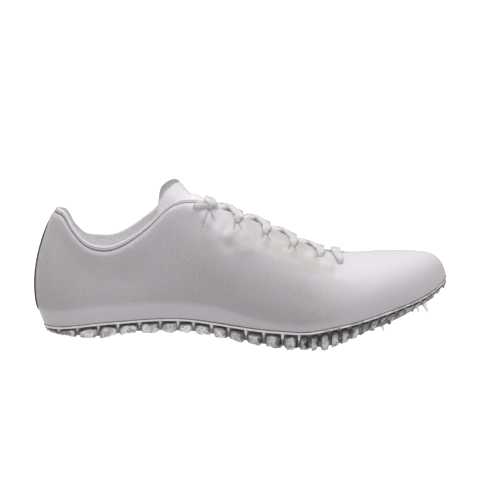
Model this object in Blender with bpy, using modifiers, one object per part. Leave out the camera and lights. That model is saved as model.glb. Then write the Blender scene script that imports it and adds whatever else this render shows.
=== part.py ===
"""Right-foot track spike shoe: a spiked moulded plate under a hollow upper with tongue, insole and lace.

Metres. +X points to the toe, -Y to the outer (lateral) side, +Z up; z = 0 is the floor.
The origin is on the floor, at the middle of the heel's rest face.
"""

import functools
import math

import bmesh
import bpy
import numpy as np
from mathutils import Matrix, Vector

# Driving dimensions

LENGTH = 0.280  # heel's rearmost point to toe tip
BALL_WIDTH = 0.0875  # width of the foot bed across the ball
SEAT_HEIGHT = 0.0105  # foot bed above the floor, under the heel
ARCH_RISE = 0.006  # how far the foot bed rises to the arch
TOE_SPRING = 0.040  # how far the foot bed rises to the toe tip
HEEL_HEIGHT = 0.075  # top of the heel above the seat
INSTEP_HEIGHT = 0.0865  # front of the collar above the seat
TOE_HEIGHT = 0.0565  # ridge of the toe box above the seat
MEDIAL_LIFT = 0.004  # how much higher the inner side of the collar is

WALL = 0.0016  # upper
GAP = 0.0003  # between neighbouring pieces
ROLL_WIDTH = 0.0032  # rolled edge of the collar
ROLL_STEP = 0.0006
THROAT_END_RADIUS = 0.009
EYELET_RADIUS = 0.0019
EYELET_INSET = 0.0068  # from the throat's edge

PLATE_OVERHANG = 0.0006  # rim of the plate beyond the upper
PLATE_RIM = 0.0012
PLATE_RECESS = 0.0013
PLATE_THICK = 0.0030
FUSE = 0.0007  # how far the lugs, teeth and ribs run into the plate
LUG_GAP = 0.0017
LUG_REACH = 0.0095  # from the plate's edge inwards
LUG_REACH_AT_TIP = 0.0030
LUG_DRAFT = 0.0011
WEB_INSET = 0.0042  # wall behind the lugs, from the plate's edge inwards
WEB_THICK = 0.0026
WEB_DEPTH = 0.80  # share of the height from the plate to the tread
FIN_WIDTH = 0.0010
FIN_REACH = 0.0055
FIN_INSET = 0.0016
REST_LENGTH = 0.016  # flat rest pads under heel and ball
REST_WIDTH = 0.012
TOOTH_BASE = 0.0058
TOOTH_PITCH = 0.0105
TOOTH_LEAST_HEIGHT = 0.0022
SHANK_RIB_WIDTH = 0.0022
SHANK_RIB_DEPTH = 0.0020

PIN_RADIUS = 0.0021
PIN_LENGTH = 0.0074
PIN_FLANGE_RADIUS = 0.0034
PIN_FLANGE = 0.0012
SEAT_RADIUS = 0.0056
SEAT_DEPTH = 0.0016

INSOLE_THICK = 0.0028
TONGUE_THICK = 0.0018
TONGUE_UNDERLAP = 0.0095  # how far the tongue runs under each side of the throat
TONGUE_REACH = 0.0136  # middle of the free end, beyond the throat's top corner
TONGUE_RISE = 0.0086
TONGUE_EAR = 0.0122  # how much further its shoulders reach
TONGUE_SHOULDER = 0.80  # where they lie, share of half its width
TONGUE_CORNER_LIFT = 0.0022  # how much higher its inner corner stands
TONGUE_SIDE_DROP = 0.0160  # how much lower its side edges lie there, within the collar
TONGUE_SINK = 0.0013  # how much deeper it lies under the throat's front end
TONGUE_ARCH = 0.28  # how far its sides run on before it bends across, share of the throat's width
TAPE_WIDTH = 0.0120
TAPE_THICK = 0.0008
LACE_WIDTH = 0.0056
LACE_THICK = 0.0023
LACE_CLEARANCE = 0.0009  # between a strand's middle and what it lies on
LACE_TURN = 0.0010  # below the throat's edge, where a strand turns over it
LACE_END = 0.0125  # the short end at the top eyelet
LACE_END_DROP = 0.0045

# Sections

# Foot bed, from heel to toe. along: share of LENGTH. lateral and medial: edges, shares of BALL_WIDTH.
# arch and spring: height of the bed, shares of ARCH_RISE and TOE_SPRING.
# tread_arch and tread_spring: height of the tread over the floor, shares of the same two.
BED_COLUMNS = ("along", "lateral", "medial", "arch", "spring", "tread_arch", "tread_spring")
BED = (
    (0.0270, 0.000, 0.000, -0.80, 0.000, 0.50, 0.000),
    (0.0375, 0.143, 0.143, -0.83, 0.000, 0.25, 0.000),
    (0.0660, 0.246, 0.240, -0.78, 0.000, 0.00, 0.000),
    (0.1110, 0.309, 0.297, -0.45, 0.000, 0.00, 0.000),
    (0.1640, 0.337, 0.314, 0.00, 0.000, 0.00, 0.000),
    (0.2290, 0.341, 0.297, 0.40, 0.000, 0.65, 0.000),
    (0.3000, 0.337, 0.263, 0.80, 0.000, 0.98, 0.000),
    (0.3710, 0.343, 0.240, 0.95, 0.000, 1.10, 0.000),
    (0.4360, 0.360, 0.243, 0.75, 0.000, 0.92, 0.000),
    (0.4930, 0.389, 0.274, 0.50, 0.000, 0.55, 0.000),
    (0.5500, 0.426, 0.331, 0.30, 0.000, 0.20, 0.000),
    (0.6110, 0.461, 0.400, 0.25, 0.000, 0.00, 0.000),
    (0.6710, 0.486, 0.463, 0.25, 0.020, 0.00, 0.000),
    (0.7320, 0.491, 0.503, 0.25, 0.125, 0.00, 0.080),
    (0.7860, 0.469, 0.509, 0.20, 0.235, 0.00, 0.260),
    (0.8430, 0.411, 0.480, 0.15, 0.383, 0.00, 0.410),
    (0.8930, 0.331, 0.423, 0.10, 0.520, 0.00, 0.585),
    (0.9360, 0.234, 0.349, 0.05, 0.650, 0.00, 0.760),
    (0.9700, 0.126, 0.263, 0.00, 0.790, 0.00, 0.885),
    (0.9930, 0.011, 0.166, 0.00, 0.930, 0.00, 1.020),
    (1.0000, -0.080, 0.080, 0.00, 1.000, 0.00, 1.100),
)

# Top of the upper, from the heel tip along the collar and the throat's edge to the toe's ridge.
# half and shift: half the opening and its middle, shares of BALL_WIDTH; the throat's end closes it.
# heel, instep, toe: height above the seat, shares of the three heights, added. lift: share of MEDIAL_LIFT.
# pitch: slope of the surface along X. roll: how much of the collar's rolled edge there is.
TOP_COLUMNS = ("along", "half", "shift", "heel", "instep", "toe", "lift", "pitch", "roll")
TOP = (
    (0.046, 0.000, 0.000, 1.000, 0.000, 0.000, 0.00, 0.00, 1.0),
    (0.052, 0.097, 0.000, 0.993, 0.000, 0.000, 0.00, 0.00, 1.0),
    (0.068, 0.166, 0.000, 0.965, 0.000, 0.000, -0.10, 0.00, 1.0),
    (0.091, 0.230, 0.000, 0.838, 0.000, 0.000, -0.30, 0.00, 1.0),
    (0.123, 0.266, 0.000, 0.350, 0.326, 0.000, 0.30, 0.00, 1.0),
    (0.164, 0.284, 0.000, 0.000, 0.597, 0.000, 0.92, 0.00, 1.0),
    (0.212, 0.285, 0.000, 0.000, 0.644, 0.000, 1.05, 0.00, 1.0),
    (0.268, 0.268, 0.000, 0.000, 0.778, 0.000, 1.20, 0.00, 1.0),
    (0.325, 0.229, 0.000, 0.000, 0.955, 0.000, 0.75, -0.10, 1.0),
    (0.379, 0.180, 0.000, 0.000, 0.990, 0.000, 0.20, -0.25, 0.7),
    (0.452, 0.130, 0.000, 0.000, 0.915, 0.000, 0.00, -0.37, 0.0),
    (0.533, 0.116, 0.000, 0.000, 0.831, 0.000, 0.00, -0.37, 0.0),
    (0.611, 0.107, 0.000, 0.000, 0.350, 0.583, 0.00, -0.36, 0.0),
    (0.686, 0.103, 0.000, 0.000, 0.000, 0.976, 0.00, -0.25, 0.0),
    (0.752, 0.103, 0.004, 0.000, 0.000, 0.945, 0.00, -0.02, 0.0),
    (0.807, 0.103, 0.017, 0.000, 0.000, 0.973, 0.00, 0.08, 0.0),
    (0.857, 0.103, 0.034, 0.000, 0.000, 0.988, 0.00, 0.05, 0.0),
    (0.893, 0.103, 0.043, 0.000, 0.000, 0.995, 0.00, 0.03, 0.0),
    (0.918, 0.103, 0.050, 0.000, 0.000, 0.997, 0.00, 0.01, 0.0),
    (0.932, 0.103, 0.054, 0.000, 0.000, 0.995, 0.00, 0.00, 0.0),
    (0.936, 0.103, 0.055, 0.000, 0.000, 0.994, 0.00, 0.00, 0.0),
)
THROAT_ROW = 9  # top corner of the throat
RIDGE_ROW = 14  # front end of the throat

# Wall between foot bed and top. flare: outward tilt in degrees at the bed; lean: the same at the top.
# low and high: how long the wall keeps those tilts, as shares of its height.
WALL_COLUMNS = ("flare_lateral", "flare_medial", "low", "lean", "high")
WALLS = (
    (30, 30, 0.33, 27, 0.33),
    (29, 29, 0.33, 25, 0.33),
    (24, 24, 0.33, 18, 0.33),
    (17, 17, 0.33, 12, 0.33),
    (13, 13, 0.33, 9, 0.33),
    (12, 14, 0.33, 9, 0.33),
    (11, 20, 0.33, 13, 0.33),
    (10, 27, 0.34, 22, 0.32),
    (11, 31, 0.34, 34, 0.30),
    (13, 31, 0.35, 46, 0.28),
    (15, 27, 0.36, 56, 0.27),
    (17, 21, 0.38, 62, 0.27),
    (18, 17, 0.40, 67, 0.29),
    (18, 16, 0.41, 73, 0.31),
    (17, 16, 0.42, 90, 0.33),
    (15, 15, 0.42, 90, 0.38),
    (12, 13, 0.42, 90, 0.42),
    (6, 9, 0.42, 90, 0.44),
    (0, 2, 0.40, 90, 0.45),
    (-8, -7, 0.38, 90, 0.46),
    (-14, -14, 0.36, 90, 0.46),
)
LAST_ROW = len(BED) - 1
AROUND = 2 * LAST_ROW  # the sections run round the shoe: lateral 0 to LAST_ROW, medial back to AROUND
HEEL_REST_ALONG = 0.118
BALL_REST_ALONG = 0.640

# Gaps between the lugs along the plate's edge, shares of LENGTH. Ahead of the last one come the edge teeth.
LUG_BREAKS = (
    *(0.033, 0.064, 0.112, 0.163, 0.210, 0.262, 0.312, 0.354),
    *(0.391, 0.434, 0.475, 0.517, 0.560, 0.605, 0.645),
)
EDGE_TEETH = 18
WEB_ENDS = (0.9, 18.4)  # sections of BED between which the wall behind the lugs runs

# Eyelets, from the toe to the ankle. along: place on the throat's edge, share of LENGTH.
# inset: distance from that edge, share of EYELET_INSET.
EYELETS = (
    (0.727, 1.97),
    (0.686, 1.22),
    (0.620, 1.30),
    (0.554, 1.18),
    (0.486, 0.98),
    (0.417, 0.68),
)

# Free end of the tongue. reach, rise, ear: shares of the three named sizes; spread: width.
TONGUE_COLUMNS = ("reach", "rise", "spread", "ear")
TONGUE_TOP = (
    (0.25, 0.06, 0.97, 0.05),
    (0.50, 0.32, 0.94, 0.28),
    (0.76, 0.72, 0.91, 0.64),
    (1.00, 1.00, 0.88, 1.00),
)

# Spike pins: where under the bed. along: share of LENGTH. across: share of BALL_WIDTH, lateral negative.
PINS = (
    (0.942, -0.03),
    (0.926, 0.20),
    (0.838, -0.25),
    (0.846, 0.315),
    (0.768, 0.02),
    (0.720, -0.325),
    (0.724, 0.34),
    (0.684, -0.20),
)

# A strand's cross-section. Shares of LACE_WIDTH and LACE_THICK.
LACE_SECTION = ((-0.5, 0.0), (-0.34, -0.5), (0.34, -0.5), (0.5, 0.0), (0.34, 0.5), (-0.34, 0.5))

# The short end's line. Shares of LACE_END back from the eyelet and of LACE_END_DROP, added, down.
LACE_END_LINE = ((0.05, 0.0), (0.35, 0.08), (0.70, 0.18), (1.0, 0.30))

SQUARE = ((-1, -1), (1, -1), (1, 1), (-1, 1))  # signs of a square's corners
STATIONS_PER_ROW = 2
BED_STRIPS = 3


# Interpolation


def round_loop(lateral, medial):
    """One closed list of values round the shoe: lateral heel to toe, then medial back to the heel."""
    return np.array(list(lateral) + list(medial[-2:0:-1]), float)


def smooth(values, u):
    """A smooth closed curve through the values, with no overshoot between them."""
    u = np.asarray(u, float) % len(values)
    i = np.floor(u).astype(int) % len(values)
    t = u - np.floor(u)
    ahead = np.roll(values, -1) - values
    behind = np.roll(ahead, 1)
    limit = 3 * np.minimum(abs(ahead), abs(behind))
    slope = np.sign(ahead) * np.minimum(abs(ahead + behind) / 2, limit)
    slope = np.where(ahead * behind <= 0, 0.0, slope)
    j = (i + 1) % len(values)
    return (
        values[i] * (2 * t**3 - 3 * t**2 + 1)
        + slope[i] * (t**3 - 2 * t**2 + t)
        + values[j] * (3 * t**2 - 2 * t**3)
        + slope[j] * (t**3 - t**2)
    )


def column(table, columns, name):
    k = columns.index(name)
    return [row[k] for row in table]


def bed(name, u, medial=None):
    """A column of BED at section u; medial names the column that holds the inner side's values."""
    return smooth(round_loop(column(BED, BED_COLUMNS, name), column(BED, BED_COLUMNS, medial or name)), u)


def top(name, u):
    values = column(TOP, TOP_COLUMNS, name)
    return smooth(round_loop(values, values), u)


def walls(name, u, medial=None):
    lateral = column(WALLS, WALL_COLUMNS, name)
    return smooth(round_loop(lateral, column(WALLS, WALL_COLUMNS, medial or name)), u)


def length_at(along):
    return LENGTH * (along - HEEL_REST_ALONG)


def side_of(u):
    """-1 on the lateral side, +1 on the medial side."""
    return np.where(np.asarray(u, float) % AROUND <= LAST_ROW, -1.0, 1.0)


def points(x, y, z):
    return np.stack(np.broadcast_arrays(x, y, z), axis=-1)


def bezier(a, b, c, d, t):
    return a * (1 - t) ** 3 + 3 * b * t * (1 - t) ** 2 + 3 * c * t**2 * (1 - t) + d * t**3


def unit(v):
    return v / np.linalg.norm(v, axis=-1, keepdims=True)


# The last: foot bed, top and the wall between


def heights(table, columns, sizes, u):
    """Height at section u, where each named column holds shares of its own size."""
    rows = sum(size * np.array(column(table, columns, name)) for name, size in sizes.items())
    return smooth(round_loop(list(rows), list(rows)), u)


def bed_edge(u):
    """Edge of the foot bed at section u, where the upper meets the plate."""
    lateral = column(BED, BED_COLUMNS, "lateral")
    medial = column(BED, BED_COLUMNS, "medial")
    y = smooth(round_loop([-v for v in lateral], medial), u) * BALL_WIDTH
    z = SEAT_HEIGHT + heights(BED, BED_COLUMNS, {"arch": ARCH_RISE, "spring": TOE_SPRING}, u)
    return points(length_at(bed("along", u)), y, z)


def bed_normal(u):
    """Outward direction in plan at the edge of the foot bed."""
    step = 0.02
    along = bed_edge(np.asarray(u) + step) - bed_edge(np.asarray(u) - step)
    return unit(points(along[..., 1], -along[..., 0], 0.0))


@functools.cache
def bed_profile():
    """The foot bed from the side: distance along, section, height of the bed and of the tread."""
    u = np.linspace(0, LAST_ROW, 600)
    edge = bed_edge(u)
    tread = heights(BED, BED_COLUMNS, {"tread_arch": ARCH_RISE, "tread_spring": TOE_SPRING}, u)
    return edge[:, 0], u, edge[:, 2], np.maximum(tread, 0.0)


def row_at(x):
    along, u, _, _ = bed_profile()
    return float(np.interp(x, along, u))


def bed_height(x):
    along, _, height, _ = bed_profile()
    return np.interp(x, along, height)


def tread_height(x):
    along, _, _, tread = bed_profile()
    return float(np.interp(x, along, tread))


def inside_bed(u, inset, drop):
    """Points at a distance in from the bed's edge and below the bed."""
    ring = bed_edge(u) - bed_normal(u) * np.asarray(inset, float)[..., None]
    ring[..., 2] = bed_height(ring[..., 0]) - drop
    return ring


def throat_share(x):
    """How open the throat is at x: 1, and down to 0 over its round front end."""
    end = length_at(TOP[RIDGE_ROW][0])
    share = np.clip((x - (end - THROAT_END_RADIUS)) / THROAT_END_RADIUS, 0, 1)
    return np.sqrt(1 - share**2)


def top_edge(u):
    """Edge of the collar and throat, and then the ridge of the toe, where both sides meet."""
    u = np.asarray(u, float)
    x = length_at(top("along", u))
    half = top("half", u) * throat_share(x)
    half = np.where(np.minimum(u % AROUND, AROUND - u % AROUND) >= RIDGE_ROW, 0.0, half)
    y = BALL_WIDTH * (side_of(u) * half + top("shift", u))
    sizes = {"heel": HEEL_HEIGHT, "instep": INSTEP_HEIGHT, "toe": TOE_HEIGHT}
    medial = {**sizes, "lift": MEDIAL_LIFT}
    z = np.where(side_of(u) > 0, heights(TOP, TOP_COLUMNS, medial, u), heights(TOP, TOP_COLUMNS, sizes, u))
    return points(x, y, z + SEAT_HEIGHT)


def last_surface(u, v):
    """The outer form at section u, from the foot bed (v = 0) to the top (v = 1)."""
    low_end, high_end = bed_edge(u), top_edge(u)
    height = np.linalg.norm(high_end - low_end, axis=-1)[..., None]
    flare = np.radians(walls("flare_lateral", u, "flare_medial"))[..., None]
    lean = np.radians(walls("lean", u))[..., None]
    out = bed_normal(u)
    up = np.array([0.0, 0.0, 1.0])
    along_top = out + points(0.0, 0.0, out[..., 0] * top("pitch", u))
    low_pull = low_end + walls("low", u)[..., None] * height * (np.sin(flare) * out + np.cos(flare) * up)
    inward = np.sin(lean) * along_top - np.cos(lean) * up
    high_pull = high_end + walls("high", u)[..., None] * height * inward
    v = np.asarray(v, float)[..., None]
    return bezier(low_end, low_pull, high_pull, high_end, v)


def last_normal(u, v):
    step = 0.01
    v = np.asarray(v, float)
    low, high = np.clip(v - step, 0, 1), np.clip(v + step, 0, 1)
    inner = np.clip(v, 0, 1 - step)  # beside the ridge, where the side's own direction is not lost
    around = last_surface(u + step, inner) - last_surface(u - step, inner)
    upward = last_surface(u, high) - last_surface(u, low)
    return unit(np.cross(around, upward))


def below_edge(u, distance):
    """The v that lies that distance below the top edge."""
    u = np.asarray(u, float)
    height = np.linalg.norm(top_edge(u) - bed_edge(u), axis=-1)
    return 1 - distance / (3 * walls("high", u) * height)


def on_last(u, v, offset):
    """Points that lie that far outside the last's surface."""
    return last_surface(u, v) + last_normal(u, v) * np.asarray(offset, float)[..., None]


@functools.cache
def throat_profile():
    rows = np.linspace(THROAT_ROW - 2, LAST_ROW, 400)
    return top("along", rows), rows


def throat_section(along):
    """Lateral section number whose top lies at that share of the length."""
    alongs, rows = throat_profile()
    return float(np.interp(along, alongs, rows))


# Building helpers


def new_object(name, bm, collection, material, smooth_angle=None):
    mesh = bpy.data.meshes.new(name)
    bm.to_mesh(mesh)
    bm.free()
    obj = bpy.data.objects.new(name, mesh)
    collection.objects.link(obj)
    if material is not None:
        obj.data.materials.append(material)
    if smooth_angle is not None:
        mesh.shade_smooth()
        mesh.set_sharp_from_angle(angle=math.radians(smooth_angle))
    return obj


def grid_faces(bm, grid, close_rows=False, flip=False):
    """Skins a grid of points, row by row, and returns its vertices."""
    rows, cols = grid.shape[:2]
    verts = [[bm.verts.new(grid[i, j]) for j in range(cols)] for i in range(rows)]
    for i in range(rows if close_rows else rows - 1):
        k = (i + 1) % rows
        for j in range(cols - 1):
            loop = [verts[i][j], verts[k][j], verts[k][j + 1], verts[i][j + 1]]
            bm.faces.new(loop[::-1] if flip else loop)
    return verts


def solidify(obj, thickness):
    mod = obj.modifiers.new("wall", "SOLIDIFY")
    mod.thickness = thickness
    mod.offset = -1
    mod.use_even_offset = True


def cut(obj, cutter):
    mod = obj.modifiers.new("cut", "BOOLEAN")
    mod.operation = "DIFFERENCE"
    mod.object = cutter
    cutter.hide_render = True
    cutter.display_type = "WIRE"


def fuse(obj, other):
    mod = obj.modifiers.new("fuse", "BOOLEAN")
    mod.operation = "UNION"
    mod.object = other
    other.hide_render = True
    other.display_type = "WIRE"


def block(bm, corners):
    """A closed block from eight corners: four in a ring, then the four opposite them."""
    verts = [bm.verts.new(c) for c in corners]
    faces = [bm.faces.new(verts[0:4]), bm.faces.new(verts[7:3:-1])]
    for i in range(4):
        j = (i + 1) % 4
        faces.append(bm.faces.new((verts[i], verts[i + 4], verts[j + 4], verts[j])))
    bmesh.ops.recalc_face_normals(bm, faces=faces)


def make_material(name, color, roughness, metallic=0.0):
    material = bpy.data.materials.new(name)
    material.use_nodes = True
    shader = material.node_tree.nodes["Principled BSDF"]
    shader.inputs["Base Color"].default_value = (*color, 1)
    shader.inputs["Roughness"].default_value = roughness
    shader.inputs["Metallic"].default_value = metallic
    material.diffuse_color = (*color, 1)
    return material


# Upper


def upper_v_rows(u):
    """The v of each row of the upper at section u, closer together at the rolled edge."""
    ledge = below_edge(u, ROLL_WIDTH)
    rows = [share * ledge for share in (0.0, 0.15, 0.33, 0.52, 0.71, 0.87)]
    return rows + [ledge, below_edge(u, ROLL_WIDTH - ROLL_STEP), np.ones_like(ledge)]


def upper_offsets(u):
    """How far each row of the upper stands out from the last."""
    roll = top("roll", u) * ROLL_STEP
    flat = np.zeros_like(roll)
    return [flat] * 7 + [roll, roll]


def build_upper(collection, cutters, material):
    u = np.arange(0, AROUND, 1 / STATIONS_PER_ROW)
    grid = np.stack([on_last(u, v, o) for v, o in zip(upper_v_rows(u), upper_offsets(u))], axis=1)
    grid[:, 0, 2] += GAP
    ridge = np.minimum(u, AROUND - u) >= RIDGE_ROW
    grid[ridge, -1] = top_edge(u[ridge])
    bm = bmesh.new()
    grid_faces(bm, grid, close_rows=True)
    bmesh.ops.remove_doubles(bm, verts=bm.verts, dist=1e-6)
    obj = new_object("upper", bm, collection, material, 40)
    solidify(obj, WALL)
    cut(obj, build_eyelet_cutters(cutters))
    return obj


def eyelet_place(number, lateral, back_off=0.0):
    """Section and v of an eyelet's middle, or of a point above it by back_off, on the last."""
    along, inset = EYELETS[number]
    u = throat_section(along)
    u = u if lateral else AROUND - u
    return u, below_edge(u, inset * EYELET_INSET - back_off)


def build_eyelet_cutters(cutters):
    bm = bmesh.new()
    for number in range(len(EYELETS)):
        for lateral in (True, False):
            u, v = eyelet_place(number, lateral)
            centre = Vector(last_surface(u, v))
            turn = Vector(last_normal(u, v)).to_track_quat("Z", "Y").to_matrix().to_4x4()
            bmesh.ops.create_cone(
                bm,
                cap_ends=True,
                segments=10,
                radius1=EYELET_RADIUS,
                radius2=EYELET_RADIUS,
                depth=4 * WALL,
                matrix=Matrix.Translation(centre) @ turn,
            )
    return new_object("eyelet_cutters", bm, cutters, None)


# Outsole


def build_plate(bm):
    """The plate's body: rim, recessed side and flat underside, closed across from side to side."""
    u = np.arange(0, AROUND, 1 / STATIONS_PER_ROW)
    profile = (
        (-PLATE_OVERHANG, 0.0),
        (-PLATE_OVERHANG, PLATE_RIM),
        (PLATE_RECESS, PLATE_RIM + GAP),
        (PLATE_RECESS, PLATE_THICK),
    )
    rings = np.stack([inside_bed(u, inset, drop) for inset, drop in profile], axis=1)
    verts = grid_faces(bm, rings, close_rows=True, flip=True)
    for column_number, up in ((0, True), (len(profile) - 1, False)):
        span_bed(bm, [row[column_number] for row in verts], up)
    bmesh.ops.recalc_face_normals(bm, faces=bm.faces)


def span_bed(bm, ring, up):
    """Closes a ring of vertices with strips that run across the foot bed."""
    count = len(ring)
    half = count // 2
    rows = []
    for i in range(1, half):
        a, b = ring[i], ring[count - i]
        inner = [bm.verts.new(a.co.lerp(b.co, k / BED_STRIPS)) for k in range(1, BED_STRIPS)]
        rows.append([a, *inner, b])
    for first, second in zip(rows, rows[1:]):
        for k in range(BED_STRIPS):
            loop = (first[k], second[k], second[k + 1], first[k + 1])
            bm.faces.new(loop if up else loop[::-1])
    for end, row in ((ring[0], rows[0]), (ring[half], rows[-1])):
        for k in range(BED_STRIPS):
            bm.faces.new((end, row[k], row[k + 1]))


@functools.cache
def edge_lengths():
    """Sections round one side with the distance from the heel at each, measured at the plate's edge."""
    u = np.linspace(0, LAST_ROW, 800)
    steps = np.linalg.norm(np.diff(bed_edge(u), axis=0), axis=1)
    return u, np.concatenate(([0.0], np.cumsum(steps)))


def lug_spans():
    """Section ranges of the lugs and teeth along one side, and the middles of the gaps between them."""
    u, distance = edge_lengths()
    rear = np.interp([length_at(along) for along in LUG_BREAKS], bed_edge(u)[:, 0], distance)
    front = np.linspace(rear[-1], distance[-1], EDGE_TEETH + 1)[1:-1]
    ends = [0.0, *rear, *front, distance[-1]]
    lugs = [
        np.interp((start + LUG_GAP / 2, end - LUG_GAP / 2), distance, u) for start, end in zip(ends, ends[1:])
    ]
    return lugs, np.interp(ends[1:-1], distance, u)


def add_lug(bm, start, end, lateral):
    """One lug: a block under the plate's edge with a smaller foot, ahead of the ball a sharp tooth."""
    sharp = float(np.clip((start - (RIDGE_ROW - 1.2)) / 2.0, 0, 1))
    trim = (end - start) * (0.05 + 0.28 * sharp)
    outer = LUG_DRAFT * (1 + 1.2 * sharp)
    across = abs(float(bed_edge(end)[1] - bed_edge(AROUND - end)[1]))
    reach = min(LUG_REACH, 0.30 * across + LUG_REACH_AT_TIP)
    inner = reach - LUG_DRAFT * (1 + 2.0 * sharp)
    base = [(start, -PLATE_OVERHANG / 2), (end, -PLATE_OVERHANG / 2), (end, reach), (start, reach)]
    foot = [(start + trim, outer), (end - trim, outer), (end - trim, inner), (start + trim, inner)]
    corners = [inside_bed(u if lateral else AROUND - u, inset, PLATE_THICK - FUSE) for u, inset in base]
    for u, inset in foot:
        corner = inside_bed(u if lateral else AROUND - u, inset, 0.0)
        corner[2] = tread_height(corner[0])
        corners.append(corner)
    block(bm, corners)


def add_web(bm, lateral):
    """A wall behind the lugs along one side, short of the heel's and the toe's ends."""
    u = np.linspace(WEB_ENDS[0], WEB_ENDS[1], STATIONS_PER_ROW * LAST_ROW)
    place = u if lateral else AROUND - u
    rings = []
    for inset, share in ((0.0, 0.0), (0.0, 1.0), (1.0, 1.0), (1.0, 0.0)):
        wall = inside_bed(place, WEB_INSET + WEB_THICK * inset, PLATE_THICK - FUSE)
        depth = wall[:, 2] - [tread_height(x) for x in wall[:, 0]]
        wall[:, 2] -= share * WEB_DEPTH * depth
        rings.append(wall)
    add_bar(bm, np.stack(rings, axis=1))


def add_bar(bm, sections):
    """A closed bar through four-cornered sections."""
    rings = [[bm.verts.new(p) for p in section] for section in sections]
    faces = [bm.faces.new(rings[0]), bm.faces.new(rings[-1][::-1])]
    for a, b in zip(rings, rings[1:]):
        for k, j in ((0, 1), (1, 2), (2, 3), (3, 0)):
            faces.append(bm.faces.new((a[k], b[k], b[j], a[j])))
    bmesh.ops.recalc_face_normals(bm, faces=faces)


def add_fin(bm, middle, lateral):
    """A thin buttress in the gap between two lugs, from the rim down."""
    u, distance = edge_lengths()
    centre = float(np.interp(middle, u, distance))
    start, end = np.interp((centre - FIN_WIDTH / 2, centre + FIN_WIDTH / 2), distance, u)
    depth = float(bed_edge(middle)[2]) - tread_height(bed_edge(middle)[0])
    foot_drop = max(0.62 * depth, PLATE_THICK + FUSE)
    corners = []
    for drop, outer in ((PLATE_RIM / 2, 0.0), (foot_drop, FIN_INSET)):
        for u, inset in ((start, outer), (end, outer), (end, FIN_REACH), (start, FIN_REACH)):
            corners.append(inside_bed(u if lateral else AROUND - u, inset, drop))
    block(bm, corners)


def bed_point(along, across, drop):
    """A point under the foot bed; across is a share of BALL_WIDTH."""
    x = length_at(along)
    return Vector((x, across * BALL_WIDTH, float(bed_height(x)) - drop))


def bed_down(along):
    """The direction straight down from the plate at that share of the length."""
    step = 0.02
    slope = bed_point(along + step, 0, 0) - bed_point(along - step, 0, 0)
    return Vector((slope.z, 0, -slope.x)).normalized()


def add_rest_pad(bm, along):
    """A flat pad that reaches the floor."""
    x = length_at(along)
    above = bed_point(along, 0, PLATE_THICK - FUSE).z
    corners = []
    for grow, z in ((LUG_DRAFT, above), (0.0, 0.0)):
        half_x, half_y = REST_LENGTH / 2 + grow, REST_WIDTH / 2 + grow
        for sx, sy in SQUARE:
            corners.append((x + sx * half_x, sy * half_y, z))
    block(bm, corners)


def add_tooth(bm, along, across):
    """A pyramid under the forefoot that points straight down from the plate."""
    down = bed_down(along)
    base = bed_point(along, across, PLATE_THICK - FUSE)
    forward = Vector((-down.z, 0, down.x))
    side = Vector((0, 1, 0))
    height = max(0.78 * (base.z - tread_height(base.x)), TOOTH_LEAST_HEIGHT)
    half = TOOTH_BASE / 2
    ring = [base + forward * (sx * half) + side * (sy * half) for sx, sy in SQUARE]
    tip = base + down * height + forward * (0.25 * half)
    foot = [tip + (corner - base) * 0.16 for corner in ring]
    block(bm, ring + foot)


def tooth_places():
    """Rows of teeth across the forefoot, clear of the pins, the lugs and the rest pad."""
    places = []
    first, last = length_at(0.705), length_at(0.945)
    for row in range(int((last - first) / TOOTH_PITCH) + 1):
        x = first + row * TOOTH_PITCH
        along = x / LENGTH + HEEL_REST_ALONG
        u = row_at(x)
        low = float(bed_edge(u)[1]) + LUG_REACH + TOOTH_BASE * 0.75
        high = float(bed_edge(AROUND - u)[1]) - LUG_REACH - TOOTH_BASE * 0.75
        count = max(int((high - low) / TOOTH_PITCH) + 1, 1)
        for k in range(count):
            y = (low + high) / 2 + (k - (count - 1) / 2) * TOOTH_PITCH
            nearest = min(math.hypot(x - length_at(a), y - c * BALL_WIDTH) for a, c in PINS)
            if nearest > SEAT_RADIUS + TOOTH_BASE * 0.7:
                places.append((along, y / BALL_WIDTH))
    return places


def add_shank_rib(bm, across_heel, across_ball):
    """A stiffening rib under the arch, from the heel to the ball."""
    alongs = np.linspace(0.235, 0.575, 9)
    share = (alongs - alongs[0]) / (alongs[-1] - alongs[0])
    across = across_heel + (across_ball - across_heel) * share
    rings = []
    for a, c, s in zip(alongs, across, share):
        depth = SHANK_RIB_DEPTH * (0.35 + 0.65 * math.sin(math.pi * min(max(s, 0.04), 0.96)))
        base = bed_point(a, c, PLATE_THICK - FUSE)
        half, foot_half = SHANK_RIB_WIDTH / 2, SHANK_RIB_WIDTH / 3
        down = Vector((0, 0, -depth - FUSE))
        rings.append([base + Vector((0, -half, 0)), base + Vector((0, half, 0))])
        rings[-1] += [base + down + Vector((0, foot_half, 0)), base + down + Vector((0, -foot_half, 0))]
    add_bar(bm, rings)


def cone_matrix(base, down):
    return Matrix.Translation(base) @ down.to_track_quat("Z", "Y").to_matrix().to_4x4()


def add_pin_seat(bm, along, across):
    """The round boss that a spike pin screws into."""
    down = bed_down(along)
    top_end = PLATE_THICK - FUSE
    depth = SEAT_DEPTH + FUSE
    centre = bed_point(along, across, top_end) + down * depth / 2
    bmesh.ops.create_cone(
        bm,
        cap_ends=True,
        segments=12,
        radius1=SEAT_RADIUS,
        radius2=SEAT_RADIUS * 0.86,
        depth=depth,
        matrix=cone_matrix(centre, down),
    )


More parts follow.
